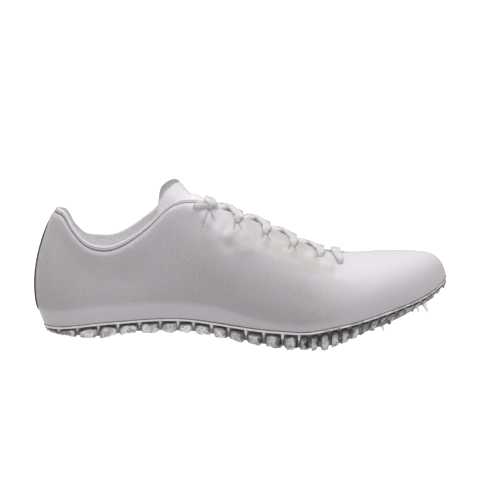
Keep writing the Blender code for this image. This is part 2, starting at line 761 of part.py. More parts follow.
def build_outsole(collection, cutters, material):
    bm = bmesh.new()
    build_plate(bm)
    obj = new_object("outsole", bm, collection, material, 30)

    lugs, gaps = lug_spans()
    groups = {name: bmesh.new() for name in ("studs", "ribs", "webs", "lugs", "fins")}
    for lateral in (True, False):
        for start, end in lugs:
            add_lug(groups["lugs"], start, end, lateral)
        for middle in gaps[: len(LUG_BREAKS)]:
            add_fin(groups["fins"], middle, lateral)
        add_web(groups["webs"], lateral)
    for along in (HEEL_REST_ALONG, BALL_REST_ALONG):
        add_rest_pad(groups["studs"], along)
    for along, across in tooth_places():
        add_tooth(groups["studs"], along, across)
    for along, across in PINS:
        add_pin_seat(groups["studs"], along, across)
    for across_heel, across_ball in ((-0.17, -0.22), (0.0, 0.0), (0.14, 0.16)):
        add_shank_rib(groups["ribs"], across_heel, across_ball)
    for name, group in groups.items():
        fuse(obj, new_object("outsole_" + name, group, cutters, None))
    return obj


# Pins


def build_pin(number, along, across, collection, material):
    """A steel pin: a flat flange against its seat and a cone that stands straight out of the plate."""
    down = bed_down(along)
    seat = bed_point(along, across, PLATE_THICK) + down * (SEAT_DEPTH + GAP)
    reach = min(PIN_LENGTH, (seat.z - GAP) / -down.z - PIN_FLANGE)
    profile = (
        (0.0, 0.0),
        (PIN_FLANGE_RADIUS, 0.0),
        (PIN_FLANGE_RADIUS, PIN_FLANGE),
        (PIN_RADIUS, PIN_FLANGE + GAP),
        (PIN_RADIUS * 0.28, PIN_FLANGE + reach * 0.97),
        (0.0, PIN_FLANGE + reach),
    )
    bm = bmesh.new()
    verts = [bm.verts.new((r, 0, z)) for r, z in profile]
    edges = [bm.edges.new(pair) for pair in zip(verts, verts[1:])]
    bmesh.ops.spin(
        bm, geom=verts + edges, cent=(0, 0, 0), axis=(0, 0, 1), angle=2 * math.pi, steps=8, use_merge=True
    )
    bmesh.ops.remove_doubles(bm, verts=bm.verts, dist=1e-6)
    bmesh.ops.recalc_face_normals(bm, faces=bm.faces)
    obj = new_object(f"pin_{number}", bm, collection, material, 35)
    obj.matrix_world = cone_matrix(seat, down)
    return obj


# Insole


def build_insole(collection, material):
    """The foot bed's board and sock: clear of the plate below and of the upper around it."""
    u = np.arange(0, AROUND, 1 / STATIONS_PER_ROW)
    flare = np.radians(walls("flare_lateral", u, "flare_medial"))
    base = WALL / np.cos(flare) + 2 * GAP
    rings = []
    for height in (GAP, GAP + INSOLE_THICK):
        inward = base + np.maximum(0, -np.tan(flare)) * height + 0.35 * height * (flare < 0)
        rings.append(inside_bed(u, inward, -height))
    bm = bmesh.new()
    verts = grid_faces(bm, np.stack(rings, axis=1), close_rows=True)
    span_bed(bm, [row[1] for row in verts], True)
    span_bed(bm, [row[0] for row in verts], False)
    bmesh.ops.recalc_face_normals(bm, faces=bm.faces)
    return new_object("insole", bm, collection, material, 40)


# Tongue


def tongue_section(u):
    """Points across the tongue's outer face at a throat section, from the lateral side to the medial."""
    clear = -(WALL + 2 * GAP + TONGUE_SINK * np.clip(u - (RIDGE_ROW - 1), 0, 1))
    distances = [TONGUE_UNDERLAP * share for share in (1.0, 0.55, 0.12)]
    sides = []
    for place in (u, AROUND - u):
        sides.append([on_last(place, below_edge(place, d), clear) for d in distances])
    left, right = sides
    chord = np.linalg.norm(right[-1] - left[-1])
    pull_left = left[-1] + unit(left[-1] - left[-2]) * chord * TONGUE_ARCH
    pull_right = right[-1] + unit(right[-1] - right[-2]) * chord * TONGUE_ARCH
    bridge = [bezier(left[-1], pull_left, pull_right, right[-1], k / 4) for k in (1, 2, 3)]
    return np.array(left + bridge + right[::-1])


def tongue_rows():
    """Every section of the tongue, from its root under the toe box to its free end."""
    front = throat_section(TOP[RIDGE_ROW][0]) + 0.35
    rows = [tongue_section(u) for u in np.linspace(front, THROAT_ROW + 0.1, 10)]
    corner = rows[-1]
    middle = corner[:, 1].mean()
    half = abs(corner[:, 1] - middle).max()
    for reach, rise, spread, ear in TONGUE_TOP:
        row = corner.copy()
        aside = (corner[:, 1] - middle) / half
        row[:, 0] -= TONGUE_REACH * reach
        row[:, 0] -= TONGUE_EAR * ear * np.minimum(abs(aside) / TONGUE_SHOULDER, 1) ** 1.5
        row[:, 1] = middle + (corner[:, 1] - middle) * spread
        row[:, 2] += TONGUE_RISE * rise + TONGUE_CORNER_LIFT * ear * (1 + aside) / 2
        row[:, 2] -= TONGUE_SIDE_DROP * ear * aside**6
        rows.append(row)
    return np.array(rows)


def build_tongue(collection, material):
    bm = bmesh.new()
    grid_faces(bm, tongue_rows())
    bmesh.ops.recalc_face_normals(bm, faces=bm.faces)
    if sum(face.normal.z for face in bm.faces) < 0:
        bmesh.ops.reverse_faces(bm, faces=bm.faces)
    obj = new_object("tongue", bm, collection, material, 40)
    solidify(obj, TONGUE_THICK)
    return obj


# Heel tape


def build_heel_tape(collection, material):
    """The tape up the back seam, cut between two larger forms of the upper's own surface."""
    width_of_row = np.linalg.norm(last_surface(0.5, 0.4) - last_surface(-0.5, 0.4))
    reach = TAPE_WIDTH / 2 / width_of_row
    u = np.linspace(-reach, reach, 4)
    v = np.linspace(0.10, float(below_edge(0.0, 2.2 * ROLL_WIDTH)), 9)
    across, up = np.meshgrid(u, v, indexing="ij")
    grid = on_last(across, up, np.full(up.shape, GAP + TAPE_THICK))
    bm = bmesh.new()
    grid_faces(bm, grid)
    obj = new_object("heel_tape", bm, collection, material, 40)
    solidify(obj, TAPE_THICK)
    return obj


# Lace


@functools.cache
def tongue_middle():
    u = np.linspace(THROAT_ROW + 0.1, RIDGE_ROW + 0.3, 24)
    middles = np.array([tongue_section(one)[4] for one in u])
    return middles[:, 0], middles[:, 2]


def tongue_crown(x):
    """Top of the tongue's middle line at x."""
    along, height = tongue_middle()
    return float(np.interp(x, along, height))


def laid_on_upper(u, v, lift=0.0):
    """Middle of a strand that lies on the upper, and the direction it faces: six numbers."""
    offset = LACE_THICK / 2 + LACE_CLEARANCE + float(top("roll", u)) * ROLL_STEP + lift
    return np.concatenate([on_last(u, v, offset), last_normal(u, v)])


def laid_on_tongue(place, lift=0.0):
    """The same six numbers where a strand crosses the tongue's middle line."""
    u = throat_section(place[0] / LENGTH + HEEL_REST_ALONG)
    slope = unit(top_edge(u + 0.2) - top_edge(u - 0.2))
    height = tongue_crown(place[0]) + LACE_THICK / 2 + LACE_CLEARANCE + lift
    return np.array([place[0], place[1], height, -slope[2], 0.0, slope[0]])


def lace_path(number_from, number_to, lateral):
    """A strand's way: out of one eyelet, over the throat's edge and the tongue, to the far edge."""
    start_u, start_v = eyelet_place(number_from, lateral, EYELET_RADIUS + GAP)
    near = laid_on_upper(start_u, start_v)
    edge = laid_on_upper(start_u, below_edge(start_u, LACE_TURN))
    if number_from == number_to:
        far_u, far_v = eyelet_place(number_to, not lateral, EYELET_RADIUS + GAP)
        far_edge = laid_on_upper(far_u, below_edge(far_u, LACE_TURN))
        middle = laid_on_tongue((edge + far_edge) / 2)
        middle[2] = max(middle[2], (edge[2] + far_edge[2]) / 2)
        return [near, edge, middle, far_edge, laid_on_upper(far_u, far_v)]
    inward = 1.0 if lateral else -1.0
    rim_u = throat_section(EYELETS[number_to][0] + (LACE_WIDTH + LACE_CLEARANCE) / LENGTH)
    rim = top_edge(AROUND - rim_u if lateral else rim_u)
    dive = laid_on_tongue(rim - np.array([0.0, inward * LACE_WIDTH * 0.6, 0.0]))
    return [near, edge, laid_on_tongue((edge + dive) / 2, LACE_THICK * 0.2), dive]


def strand_points(path, per_span=2):
    """A smooth line through the path's points."""
    path = [2 * path[0] - path[1], *path, 2 * path[-1] - path[-2]]
    line = []
    for a, b, c, d in zip(path, path[1:], path[2:], path[3:]):
        for t in np.arange(per_span) / per_span:
            bend = (2 * a - 5 * b + 4 * c - d) * t**2 + (3 * b - a - 3 * c + d) * t**3
            line.append(0.5 * (2 * b + (c - a) * t + bend))
    line.append(path[-2])
    return np.array(line)


def add_strand(bm, path):
    """A flat strand along the path, with its flat side to what it lies on."""
    line = strand_points(path)
    middle, facing = line[:, :3], line[:, 3:]
    sections = []
    for i, point in enumerate(middle):
        ahead = unit(middle[min(i + 1, len(middle) - 1)] - middle[max(i - 1, 0)])
        side = unit(np.cross(facing[i], ahead))
        up = np.cross(ahead, side)
        ring = [point + side * wide * LACE_WIDTH + up * high * LACE_THICK for wide, high in LACE_SECTION]
        sections.append([bm.verts.new(p) for p in ring])
    faces = [bm.faces.new(sections[0]), bm.faces.new(sections[-1][::-1])]
    sides = len(LACE_SECTION)
    for a, b in zip(sections, sections[1:]):
        for k in range(sides):
            j = (k + 1) % sides
            faces.append(bm.faces.new((a[k], b[k], b[j], a[j])))
    bmesh.ops.recalc_face_normals(bm, faces=faces)


def lace_end_path():
    """The short end at the top eyelet, which points to the heel."""
    u, v = eyelet_place(len(EYELETS) - 1, True, -EYELET_RADIUS)
    start = last_surface(u, v)[0]
    line = []
    for back, drop in LACE_END_LINE:
        place = throat_section((start - LACE_END * back) / LENGTH + HEEL_REST_ALONG)
        line.append(laid_on_upper(place, below_edge(place, LACE_END_DROP * (1 + drop)), ROLL_STEP))
    return line


def build_lace(collection, cutters, material):
    last = len(EYELETS) - 1
    for name, number in (("lace_bar", 0), ("lace_top", last)):
        bm = bmesh.new()
        add_strand(bm, lace_path(number, number, True))
        obj = new_object(name, bm, collection, material, 50)
    short_end = bmesh.new()
    add_strand(short_end, lace_end_path())
    fuse(obj, new_object("lace_short_end", short_end, cutters, None))
    for number in range(1, last):
        bm = bmesh.new()
        add_strand(bm, lace_path(number, number + 1, True))
        obj = new_object(f"lace_cross_{number}", bm, collection, material, 50)
        other = bmesh.new()
        add_strand(other, lace_path(number, number + 1, False))
        fuse(obj, new_object(f"lace_over_{number}", other, cutters, None))


def main():
    for obj in list(bpy.data.objects):
        bpy.data.objects.remove(obj)
    shoe = bpy.data.collections.new("track_spike_shoe")
    cutters = bpy.data.collections.new("cutters")
    bpy.context.scene.collection.children.link(shoe)
    bpy.context.scene.collection.children.link(cutters)

    cloth = make_material("upper_cloth", (0.80, 0.79, 0.80), 0.75)
    lining = make_material("lining", (0.62, 0.61, 0.62), 0.85)
    lace = make_material("lace_cord", (0.86, 0.85, 0.86), 0.80)
    tape = make_material("heel_tape", (0.035, 0.033, 0.038), 0.55)
    plate = make_material("sole_plastic", (0.38, 0.37, 0.38), 0.28)
    steel = make_material("pin_steel", (0.62, 0.62, 0.64), 0.30, 1.0)

    build_outsole(shoe, cutters, plate)
    for number, (along, across) in enumerate(PINS, start=1):
        build_pin(number, along, across, shoe, steel)
    build_upper(shoe, cutters, cloth)
    build_insole(shoe, lining)
    build_tongue(shoe, cloth)
    build_heel_tape(shoe, tape)
    build_lace(shoe, cutters, lace)


main()
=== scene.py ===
"""Looks of the right-foot track spike shoe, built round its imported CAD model.

Metres, in the model's own frame: +X points to the toe, -Y to the outer side, +Z up; z = 0 is the floor.
The section tables and the functions that read them are those of the CAD source, so that every dressed
surface lies where its solid does.
"""

import functools
import math

import bmesh
import bpy
import numpy as np
from mathutils import Matrix, Vector


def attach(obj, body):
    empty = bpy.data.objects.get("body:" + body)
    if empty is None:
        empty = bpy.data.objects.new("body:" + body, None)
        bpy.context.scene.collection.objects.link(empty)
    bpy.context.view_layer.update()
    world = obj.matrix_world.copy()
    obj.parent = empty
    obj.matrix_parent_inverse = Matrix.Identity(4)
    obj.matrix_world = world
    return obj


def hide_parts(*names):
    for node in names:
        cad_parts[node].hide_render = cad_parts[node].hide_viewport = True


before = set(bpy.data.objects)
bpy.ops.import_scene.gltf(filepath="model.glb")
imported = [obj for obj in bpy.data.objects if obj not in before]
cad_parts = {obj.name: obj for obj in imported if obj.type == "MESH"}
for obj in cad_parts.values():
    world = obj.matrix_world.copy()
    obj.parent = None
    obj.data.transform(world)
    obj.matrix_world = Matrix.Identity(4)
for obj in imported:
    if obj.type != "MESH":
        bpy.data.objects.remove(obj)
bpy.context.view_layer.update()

# Driving dimensions of the solids

LENGTH = 0.280  # heel's rearmost point to toe tip
BALL_WIDTH = 0.0875  # width of the foot bed across the ball
SEAT_HEIGHT = 0.0105  # foot bed above the floor, under the heel
ARCH_RISE = 0.006  # how far the foot bed rises to the arch
TOE_SPRING = 0.040  # how far the foot bed rises to the toe tip
HEEL_HEIGHT = 0.075  # top of the heel above the seat
INSTEP_HEIGHT = 0.0865  # front of the collar above the seat
TOE_HEIGHT = 0.0565  # ridge of the toe box above the seat
MEDIAL_LIFT = 0.004  # how much higher the inner side of the collar is

WALL = 0.0016  # upper
GAP = 0.0003  # between neighbouring pieces
ROLL_WIDTH = 0.0032  # rolled edge of the collar
ROLL_STEP = 0.0006
THROAT_END_RADIUS = 0.009
EYELET_RADIUS = 0.0019
EYELET_INSET = 0.0068  # from the throat's edge

PLATE_OVERHANG = 0.0006  # rim of the plate beyond the upper
PLATE_RIM = 0.0012
PLATE_RECESS = 0.0013
PLATE_THICK = 0.0030
FUSE = 0.0007  # how far the lugs, teeth and ribs run into the plate
LUG_GAP = 0.0017
LUG_REACH = 0.0095  # from the plate's edge inwards
LUG_REACH_AT_TIP = 0.0030
LUG_DRAFT = 0.0011
WEB_INSET = 0.0042  # wall behind the lugs, from the plate's edge inwards
WEB_THICK = 0.0026
WEB_DEPTH = 0.80  # share of the height from the plate to the tread
FIN_WIDTH = 0.0010
FIN_REACH = 0.0055
FIN_INSET = 0.0016
REST_LENGTH = 0.016  # flat rest pads under heel and ball
REST_WIDTH = 0.012
TOOTH_BASE = 0.0058
TOOTH_PITCH = 0.0105
TOOTH_LEAST_HEIGHT = 0.0022
SHANK_RIB_WIDTH = 0.0022
SHANK_RIB_DEPTH = 0.0020

PIN_RADIUS = 0.0021
PIN_LENGTH = 0.0074
PIN_FLANGE_RADIUS = 0.0034
PIN_FLANGE = 0.0012
SEAT_RADIUS = 0.0056
SEAT_DEPTH = 0.0016

INSOLE_THICK = 0.0028
TONGUE_THICK = 0.0018
TONGUE_UNDERLAP = 0.0095  # how far the tongue runs under each side of the throat
TONGUE_REACH = 0.0136  # middle of the free end, beyond the throat's top corner
TONGUE_RISE = 0.0086
TONGUE_EAR = 0.0122  # how much further its shoulders reach
TONGUE_SHOULDER = 0.80  # where they lie, share of half its width
TONGUE_CORNER_LIFT = 0.0022  # how much higher its inner corner stands
TONGUE_SIDE_DROP = 0.0160  # how much lower its side edges lie there, within the collar
TONGUE_SINK = 0.0013  # how much deeper it lies under the throat's front end
TONGUE_ARCH = 0.28  # how far its sides run on before it bends across, share of the throat's width
TAPE_WIDTH = 0.0120
TAPE_THICK = 0.0008
LACE_WIDTH = 0.0056
LACE_THICK = 0.0023
LACE_CLEARANCE = 0.0009  # between a strand's middle and what it lies on
LACE_TURN = 0.0010  # below the throat's edge, where a strand turns over it
LACE_END = 0.0125  # the short end at the top eyelet
LACE_END_DROP = 0.0045

# Sections of the solids

# Foot bed, from heel to toe. along: share of LENGTH. lateral and medial: edges, shares of BALL_WIDTH.
# arch and spring: height of the bed, shares of ARCH_RISE and TOE_SPRING.
# tread_arch and tread_spring: height of the tread over the floor, shares of the same two.
BED_COLUMNS = ("along", "lateral", "medial", "arch", "spring", "tread_arch", "tread_spring")
BED = (
    (0.027, 0, 0, -0.8, 0, 0.5, 0),
    (0.0375, 0.143, 0.143, -0.83, 0, 0.25, 0),
    (0.066, 0.246, 0.24, -0.78, 0, 0, 0),
    (0.111, 0.309, 0.297, -0.45, 0, 0, 0),
    (0.164, 0.337, 0.314, 0, 0, 0, 0),
    (0.229, 0.341, 0.297, 0.4, 0, 0.65, 0),
    (0.3, 0.337, 0.263, 0.8, 0, 0.98, 0),
    (0.371, 0.343, 0.24, 0.95, 0, 1.1, 0),
    (0.436, 0.36, 0.243, 0.75, 0, 0.92, 0),
    (0.493, 0.389, 0.274, 0.5, 0, 0.55, 0),
    (0.55, 0.426, 0.331, 0.3, 0, 0.2, 0),
    (0.611, 0.461, 0.4, 0.25, 0, 0, 0),
    (0.671, 0.486, 0.463, 0.25, 0.02, 0, 0),
    (0.732, 0.491, 0.503, 0.25, 0.125, 0, 0.08),
    (0.786, 0.469, 0.509, 0.2, 0.235, 0, 0.26),
    (0.843, 0.411, 0.48, 0.15, 0.383, 0, 0.41),
    (0.893, 0.331, 0.423, 0.1, 0.52, 0, 0.585),
    (0.936, 0.234, 0.349, 0.05, 0.65, 0, 0.76),
    (0.97, 0.126, 0.263, 0, 0.79, 0, 0.885),
    (0.993, 0.011, 0.166, 0, 0.93, 0, 1.02),
    (1, -0.08, 0.08, 0, 1, 0, 1.1),
)

# Top of the upper, from the heel tip along the collar and the throat's edge to the toe's ridge.
# half and shift: half the opening and its middle, shares of BALL_WIDTH; the throat's end closes it.
# heel, instep, toe: height above the seat, shares of the three heights, added. lift: share of MEDIAL_LIFT.
# pitch: slope of the surface along X. roll: how much of the collar's rolled edge there is.
TOP_COLUMNS = ("along", "half", "shift", "heel", "instep", "toe", "lift", "pitch", "roll")
TOP = (
    (0.046, 0, 0, 1, 0, 0, 0, 0, 1),
    (0.052, 0.097, 0, 0.993, 0, 0, 0, 0, 1),
    (0.068, 0.166, 0, 0.965, 0, 0, -0.1, 0, 1),
    (0.091, 0.23, 0, 0.838, 0, 0, -0.3, 0, 1),
    (0.123, 0.266, 0, 0.35, 0.326, 0, 0.3, 0, 1),
    (0.164, 0.284, 0, 0, 0.597, 0, 0.92, 0, 1),
    (0.212, 0.285, 0, 0, 0.644, 0, 1.05, 0, 1),
    (0.268, 0.268, 0, 0, 0.778, 0, 1.2, 0, 1),
    (0.325, 0.229, 0, 0, 0.955, 0, 0.75, -0.1, 1),
    (0.379, 0.18, 0, 0, 0.99, 0, 0.2, -0.25, 0.7),
    (0.452, 0.13, 0, 0, 0.915, 0, 0, -0.37, 0),
    (0.533, 0.116, 0, 0, 0.831, 0, 0, -0.37, 0),
    (0.611, 0.107, 0, 0, 0.35, 0.583, 0, -0.36, 0),
    (0.686, 0.103, 0, 0, 0, 0.976, 0, -0.25, 0),
    (0.752, 0.103, 0.004, 0, 0, 0.945, 0, -0.02, 0),
    (0.807, 0.103, 0.017, 0, 0, 0.973, 0, 0.08, 0),
    (0.857, 0.103, 0.034, 0, 0, 0.988, 0, 0.05, 0),
    (0.893, 0.103, 0.043, 0, 0, 0.995, 0, 0.03, 0),
    (0.918, 0.103, 0.05, 0, 0, 0.997, 0, 0.01, 0),
    (0.932, 0.103, 0.054, 0, 0, 0.995, 0, 0, 0),
    (0.936, 0.103, 0.055, 0, 0, 0.994, 0, 0, 0),
)
THROAT_ROW = 9  # top corner of the throat
RIDGE_ROW = 14  # front end of the throat

# Wall between foot bed and top. flare: outward tilt in degrees at the bed; lean: the same at the top.
# low and high: how long the wall keeps those tilts, as shares of its height.
WALL_COLUMNS = ("flare_lateral", "flare_medial", "low", "lean", "high")
WALLS = (
    (30, 30, 0.33, 27, 0.33),
    (29, 29, 0.33, 25, 0.33),
    (24, 24, 0.33, 18, 0.33),
    (17, 17, 0.33, 12, 0.33),
    (13, 13, 0.33, 9, 0.33),
    (12, 14, 0.33, 9, 0.33),
    (11, 20, 0.33, 13, 0.33),
    (10, 27, 0.34, 22, 0.32),
    (11, 31, 0.34, 34, 0.30),
    (13, 31, 0.35, 46, 0.28),
    (15, 27, 0.36, 56, 0.27),
    (17, 21, 0.38, 62, 0.27),
    (18, 17, 0.40, 67, 0.29),
    (18, 16, 0.41, 73, 0.31),
    (17, 16, 0.42, 90, 0.33),
    (15, 15, 0.42, 90, 0.38),
    (12, 13, 0.42, 90, 0.42),
    (6, 9, 0.42, 90, 0.44),
    (0, 2, 0.40, 90, 0.45),
    (-8, -7, 0.38, 90, 0.46),
    (-14, -14, 0.36, 90, 0.46),
)
LAST_ROW = len(BED) - 1
AROUND = 2 * LAST_ROW  # the sections run round the shoe: lateral 0 to LAST_ROW, medial back to AROUND
HEEL_REST_ALONG = 0.118
BALL_REST_ALONG = 0.640

# Gaps between the lugs along the plate's edge, shares of LENGTH. Ahead of the last one come the edge teeth.
LUG_BREAKS = (
    *(0.033, 0.064, 0.112, 0.163, 0.210, 0.262, 0.312, 0.354),
    *(0.391, 0.434, 0.475, 0.517, 0.560, 0.605, 0.645),
)
EDGE_TEETH = 18
WEB_ENDS = (0.9, 18.4)  # sections of BED between which the wall behind the lugs runs

# Eyelets, from the toe to the ankle. along: place on the throat's edge, share of LENGTH.
# inset: distance from that edge, share of EYELET_INSET.
EYELETS = (
    (0.727, 1.97),
    (0.686, 1.22),
    (0.620, 1.30),
    (0.554, 1.18),
    (0.486, 0.98),
    (0.417, 0.68),
)

# Free end of the tongue: shares of its reach, its rise, its width and its ears' reach.
TONGUE_TOP = (
    (0.25, 0.06, 0.97, 0.05),
    (0.5, 0.32, 0.94, 0.28),
    (0.76, 0.72, 0.91, 0.64),
    (1, 1, 0.88, 1),
)

# Spike pins: where under the bed. along: share of LENGTH. across: share of BALL_WIDTH, lateral negative.
PINS = (
    (0.942, -0.03),
    (0.926, 0.20),
    (0.838, -0.25),
    (0.846, 0.315),
    (0.768, 0.02),
    (0.720, -0.325),
    (0.724, 0.34),
    (0.684, -0.20),
)

# The short end's line. Shares of LACE_END back from the eyelet and of LACE_END_DROP, added, down.
LACE_END_LINE = ((0.05, 0.0), (0.35, 0.08), (0.70, 0.18), (1.0, 0.30))

# Sizes of the finish

SPACED_AT = 0.4  # where up the wall the spacing of sections is measured
STATION = 0.0012  # spacing of the upper's sections
THROAT_STATION = 0.0007  # the same beside the throat
EASE_REACH = 0.7  # how many sections on each side are evened out at the throat's end
EASE_DOWN = (0.0005, 0.0040)  # distance below the edge over which that sets in
EASE_ROUNDS = 120
EDGE_BAND = 0.016  # strip below the top edge with closer rows
EDGE_ROWS = 28
BODY_ROWS = 40
FUSED_STEP = 0.00008  # how far the fused film stands out from the mesh
SHELL_UNEVEN = 0.00035  # soft waves all over the shell
COLLAR_SWELL = 0.0011  # how far the padded collar stands out
SWELL_DOWN = 0.0068  # its crest, below the edge
SWELL_ABOVE = 0.0030  # how far it fades out above the crest
SWELL_BELOW = 0.0085
SEAM_DOWN = 0.0029  # dark line under the rolled edge
SEAM_HALF = 0.0008
SEAM_AT_SOLE = (0.75, 0.0004, 0.0014)  # how dark it is along the plate, and the strip in which it fades
TONGUE_SHADE_BAND = 0.0034  # width of the painted shade band along the tongue's free end, which widens the shaded crescent of its inner face
TONGUE_SHADE_BAND_FROM = (0.0930, 0.0985)  # heights between which it fades in
TONGUE_UNEVEN = 0.0003

# Rolled edge of the collar. centre and half: shares of ROLL_WIDTH.
ROLL_CENTRE = 0.28
ROLL_HALF = 0.31
ROLL_LEAST = 0.0004
ROLL_SIDES = 18
ROLL_SQUARE = 0.8
ROLL_ROUND = 0.0015  # cloth that a radian of it takes

# Insole
SOCK_STATION = 0.0025
SOCK_STRIPS = 16
SOCK_SAG = 0.0006  # how much lower its middle lies
SOCK_THICK = 0.0020

# Heel tape
TAPE_FOOT = 0.125  # v of its lower end
TAPE_TOP = 2.2  # its upper end below the edge, in widths of the rolled edge
TAPE_REACH = 0.58  # half of it, share of its width
TAPE_TAPER = 0.05  # length in v of its tapered ends
TAPE_THIN = 0.35  # how thick it is left at both ends

# Film fused over the mesh. Pairs of a share of LENGTH and the film's reach there, from the top edge
# down or from the sole up.
FILM = ((0, 0.005), (0.36, 0.005), (0.385, 0.011), (0.42, 0.019), (0.49, 0.026), (0.56, 0.029))
FILM += ((0.62, 0.028), (0.68, 0.027), (0.74, 0.033), (0.8, 0.042), (0.9, 0.06), (1, 0.07))
FILM_AT_SOLE = ((0, 0.012), (0.45, 0.011), (0.6, 0.005), (0.78, 0.005), (0.86, 0.04), (1, 0.05))
FILM_AT_HEEL = 0.0080
FILM_HEEL_END = 0.2  # share of LENGTH
FILM_BLEND = 0.0060
MESH_FADE = (0.64, 0.83)  # where the weave fades out towards the toe, shares of LENGTH
WARM_FROM = (0.43, 0.50)  # where the cream tint beside the eyelets fades in, shares of LENGTH
WARM_TO = (0.69, 0.76)  # and out
WARM_DOWN = (0.022, 0.034)  # the same below the throat's edge

# Folds pressed into the upper: from a share of LENGTH and a distance below the top edge,
# to another such pair, with the fold's half-width and its depth (ridges negative).
NARROW_FOLD = 0.0015  # up to that half-width a fold also gets painted shade along its trough
CREASE_DEPTH = 0.0009  # fold depth at which that painted shade is full
FOLDS = (
    (0.414, 0.007, 0.398, 0.026, 0.0009, 0.001),
    (0.419, 0.007, 0.438, 0.015, 0.0009, 0.001),
    (0.412, 0.008, 0.41, 0.026, 0.003, -0.0012),
    (0.43, 0.012, 0.438, 0.026, 0.0028, 0.0011),
    (0.482, 0.007, 0.476, 0.019, 0.001, 0.0012),
    (0.487, 0.007, 0.5, 0.016, 0.0009, 0.0011),
    (0.48, 0.011, 0.462, 0.03, 0.0032, -0.0014),
    (0.468, 0.012, 0.448, 0.026, 0.0028, 0.0011),
    (0.55, 0.008, 0.546, 0.018, 0.001, 0.0011),
    (0.556, 0.008, 0.57, 0.017, 0.0009, 0.0011),
    (0.552, 0.012, 0.546, 0.028, 0.0032, -0.0011),
    (0.616, 0.009, 0.61, 0.019, 0.001, 0.001),
    (0.622, 0.009, 0.634, 0.017, 0.0009, 0.001),
    (0.617, 0.013, 0.606, 0.028, 0.0032, -0.0011),
    (0.683, 0.008, 0.676, 0.015, 0.0014, 0.0008),
    (0.69, 0.013, 0.7, 0.026, 0.003, 0.0007),
    (0.706, 0.012, 0.712, 0.028, 0.0034, -0.0011),
    (0.727, 0.017, 0.728, 0.03, 0.0028, 0.0009),
    (0.45, 0.029, 0.478, 0.036, 0.005, 0.0012),
    (0.41, 0.029, 0.44, 0.033, 0.005, -0.0007),
    (0.495, 0.03, 0.52, 0.035, 0.006, -0.001),
    (0.64, 0.032, 0.7, 0.028, 0.005, 0.0006),
    (0.15, 0.022, 0.33, 0.03, 0.008, 0.0006),
    (0.1, 0.015, 0.2, 0.024, 0.006, -0.0005),
    (0.6, 0.056, 0.7, 0.054, 0.006, 0.0004),
)

# Lace
LACE_PUFF = 1.25  # thickness of the dressed strand, share of the solid's
LACE_PRESS = 0.0002  # how far it presses into what it lies on
LACE_SQUARE = 0.75  # how square its section is, 1 for an oval
STUB = (0.78, 1.85)  # width and thickness of the short end, shares of the strand's own
STUB_SWELL = (0.52, 0.60)  # share of them where it starts, and how much more there is at its end
STUB_LENGTH = 0.72  # share of LACE_END
STUB_HANG = 2.2  # how steeply it hangs
STUB_TIP = ((0.40, 0.92), (0.72, 0.71), (0.92, 0.42), (1.0, 0.12))  # its round tip: way ahead and size
TOP_CROSS_LIFT = 0.0016  # how high the strand rides over the other one there
TOP_SPREAD = 1.45  # how much wider the strand lies at the top eyelets
LACE_SIDES = 16
LACE_PER_SPAN = 9
LACE_BUNCH = (0.60, 1.25)  # width and thickness inside an eyelet, shares of the strand's own
LACE_HIDDEN = (0.75, 0.60)  # the same under the eyelet rows

# Sole
LUG_ROUND = 4.2  # how square the lugs' corners are
LUG_CUTS = 8
LUG_ROUGH = 0.0008  # how far their sides are shaken
LUG_DISH = 0.0009  # hollow in their outer face
LUG_WORN = 0.0011  # how far their feet are worn off in places
LUG_SHADE = (0.66, 0.90)  # darkness towards the gaps and up to the plate
BALL_DARK = (0.34, 0.42, 0.58)  # how much darker they are under the ball, and where that fades in
HEEL_DARK = (0.55, 0.06, 0.13)  # the same at the back of the heel, where it fades out
RIM_HIGHLIGHT_DIM = (0.75, 0.62, 0.76)  # how much weaker the rim's painted highlight is along the forefoot, and from where
SHARP_FROM = 0.3  # lugs with a higher share of sharpness are crystals
CRYSTAL_ROUGH = 0.0008
CRYSTAL_UNEVEN = 0.0028  # how unevenly their feet end
WEB_SECTION = ((0.0, 0.0), (0.0, 0.9), (0.25, 1.0), (0.75, 1.0), (1.0, 0.9), (1.0, 0.0))
FIN_TIP = 2.4  # how much wider the fins are at the rim
SHANK_RIBS = ((-0.17, -0.22), (0.0, 0.0), (0.14, 0.16))  # across at the heel's end and at the ball's
SHANK_ENDS = (0.235, 0.575)
TEETH_ENDS = (0.705, 0.945)
PLATE_STRIPS = 14  # across the underside

# Section of the plate, down its edge: distance in from the edge, drop below the bed, and how deep in
# painted shade it is (negative ones get the rim's painted highlight).
PLATE_STATION = 0.0016
PLATE_PROFILE = (
    (WALL * 2, 0.0, 0.6),
    (0.0, 0.0, -0.5),
    (-PLATE_OVERHANG, 0.00025, -1.0),
    (-PLATE_OVERHANG, PLATE_RIM * 0.7, -1.0),
    (-PLATE_OVERHANG * 0.4, PLATE_RIM, 0.4),
    (PLATE_RECESS * 0.8, PLATE_RIM + GAP, 1.0),
    (PLATE_RECESS, PLATE_THICK * 0.7, 1.0),
    (PLATE_RECESS * 1.3, PLATE_THICK, 0.8),
)

# Light: a dome, seen from the shoe. Strengths straight up, at the horizon and below it.
DOME_COLOR = (1.0, 0.975, 1.0, 1)
DOME_ZENITH = 1.55
DOME_HORIZON = 0.10
DOME_BELOW = 0.42
DOME_FOCUS = 3.0  # how closely its brightness gathers overhead

# Painted glow: emission on parts that are no lamps, which brightens them
LINING_GLOW = 0.14  # painted glow, standing in for the light that the thin white mesh lets through from outside
BINDING_GLOW = 0.07
TONGUE_GLOW = 0.04
GLOW_TINT = (1.0, 0.98, 1.0, 1.0)
SOLE_GLOW = 0.13  # painted glow, standing in for the light that wanders inside the half-clear plastic
FLOOR_GLOW = 0.90  # evens out the shadow on the white ground, as in the photograph
FLOOR_REACH = 40.0

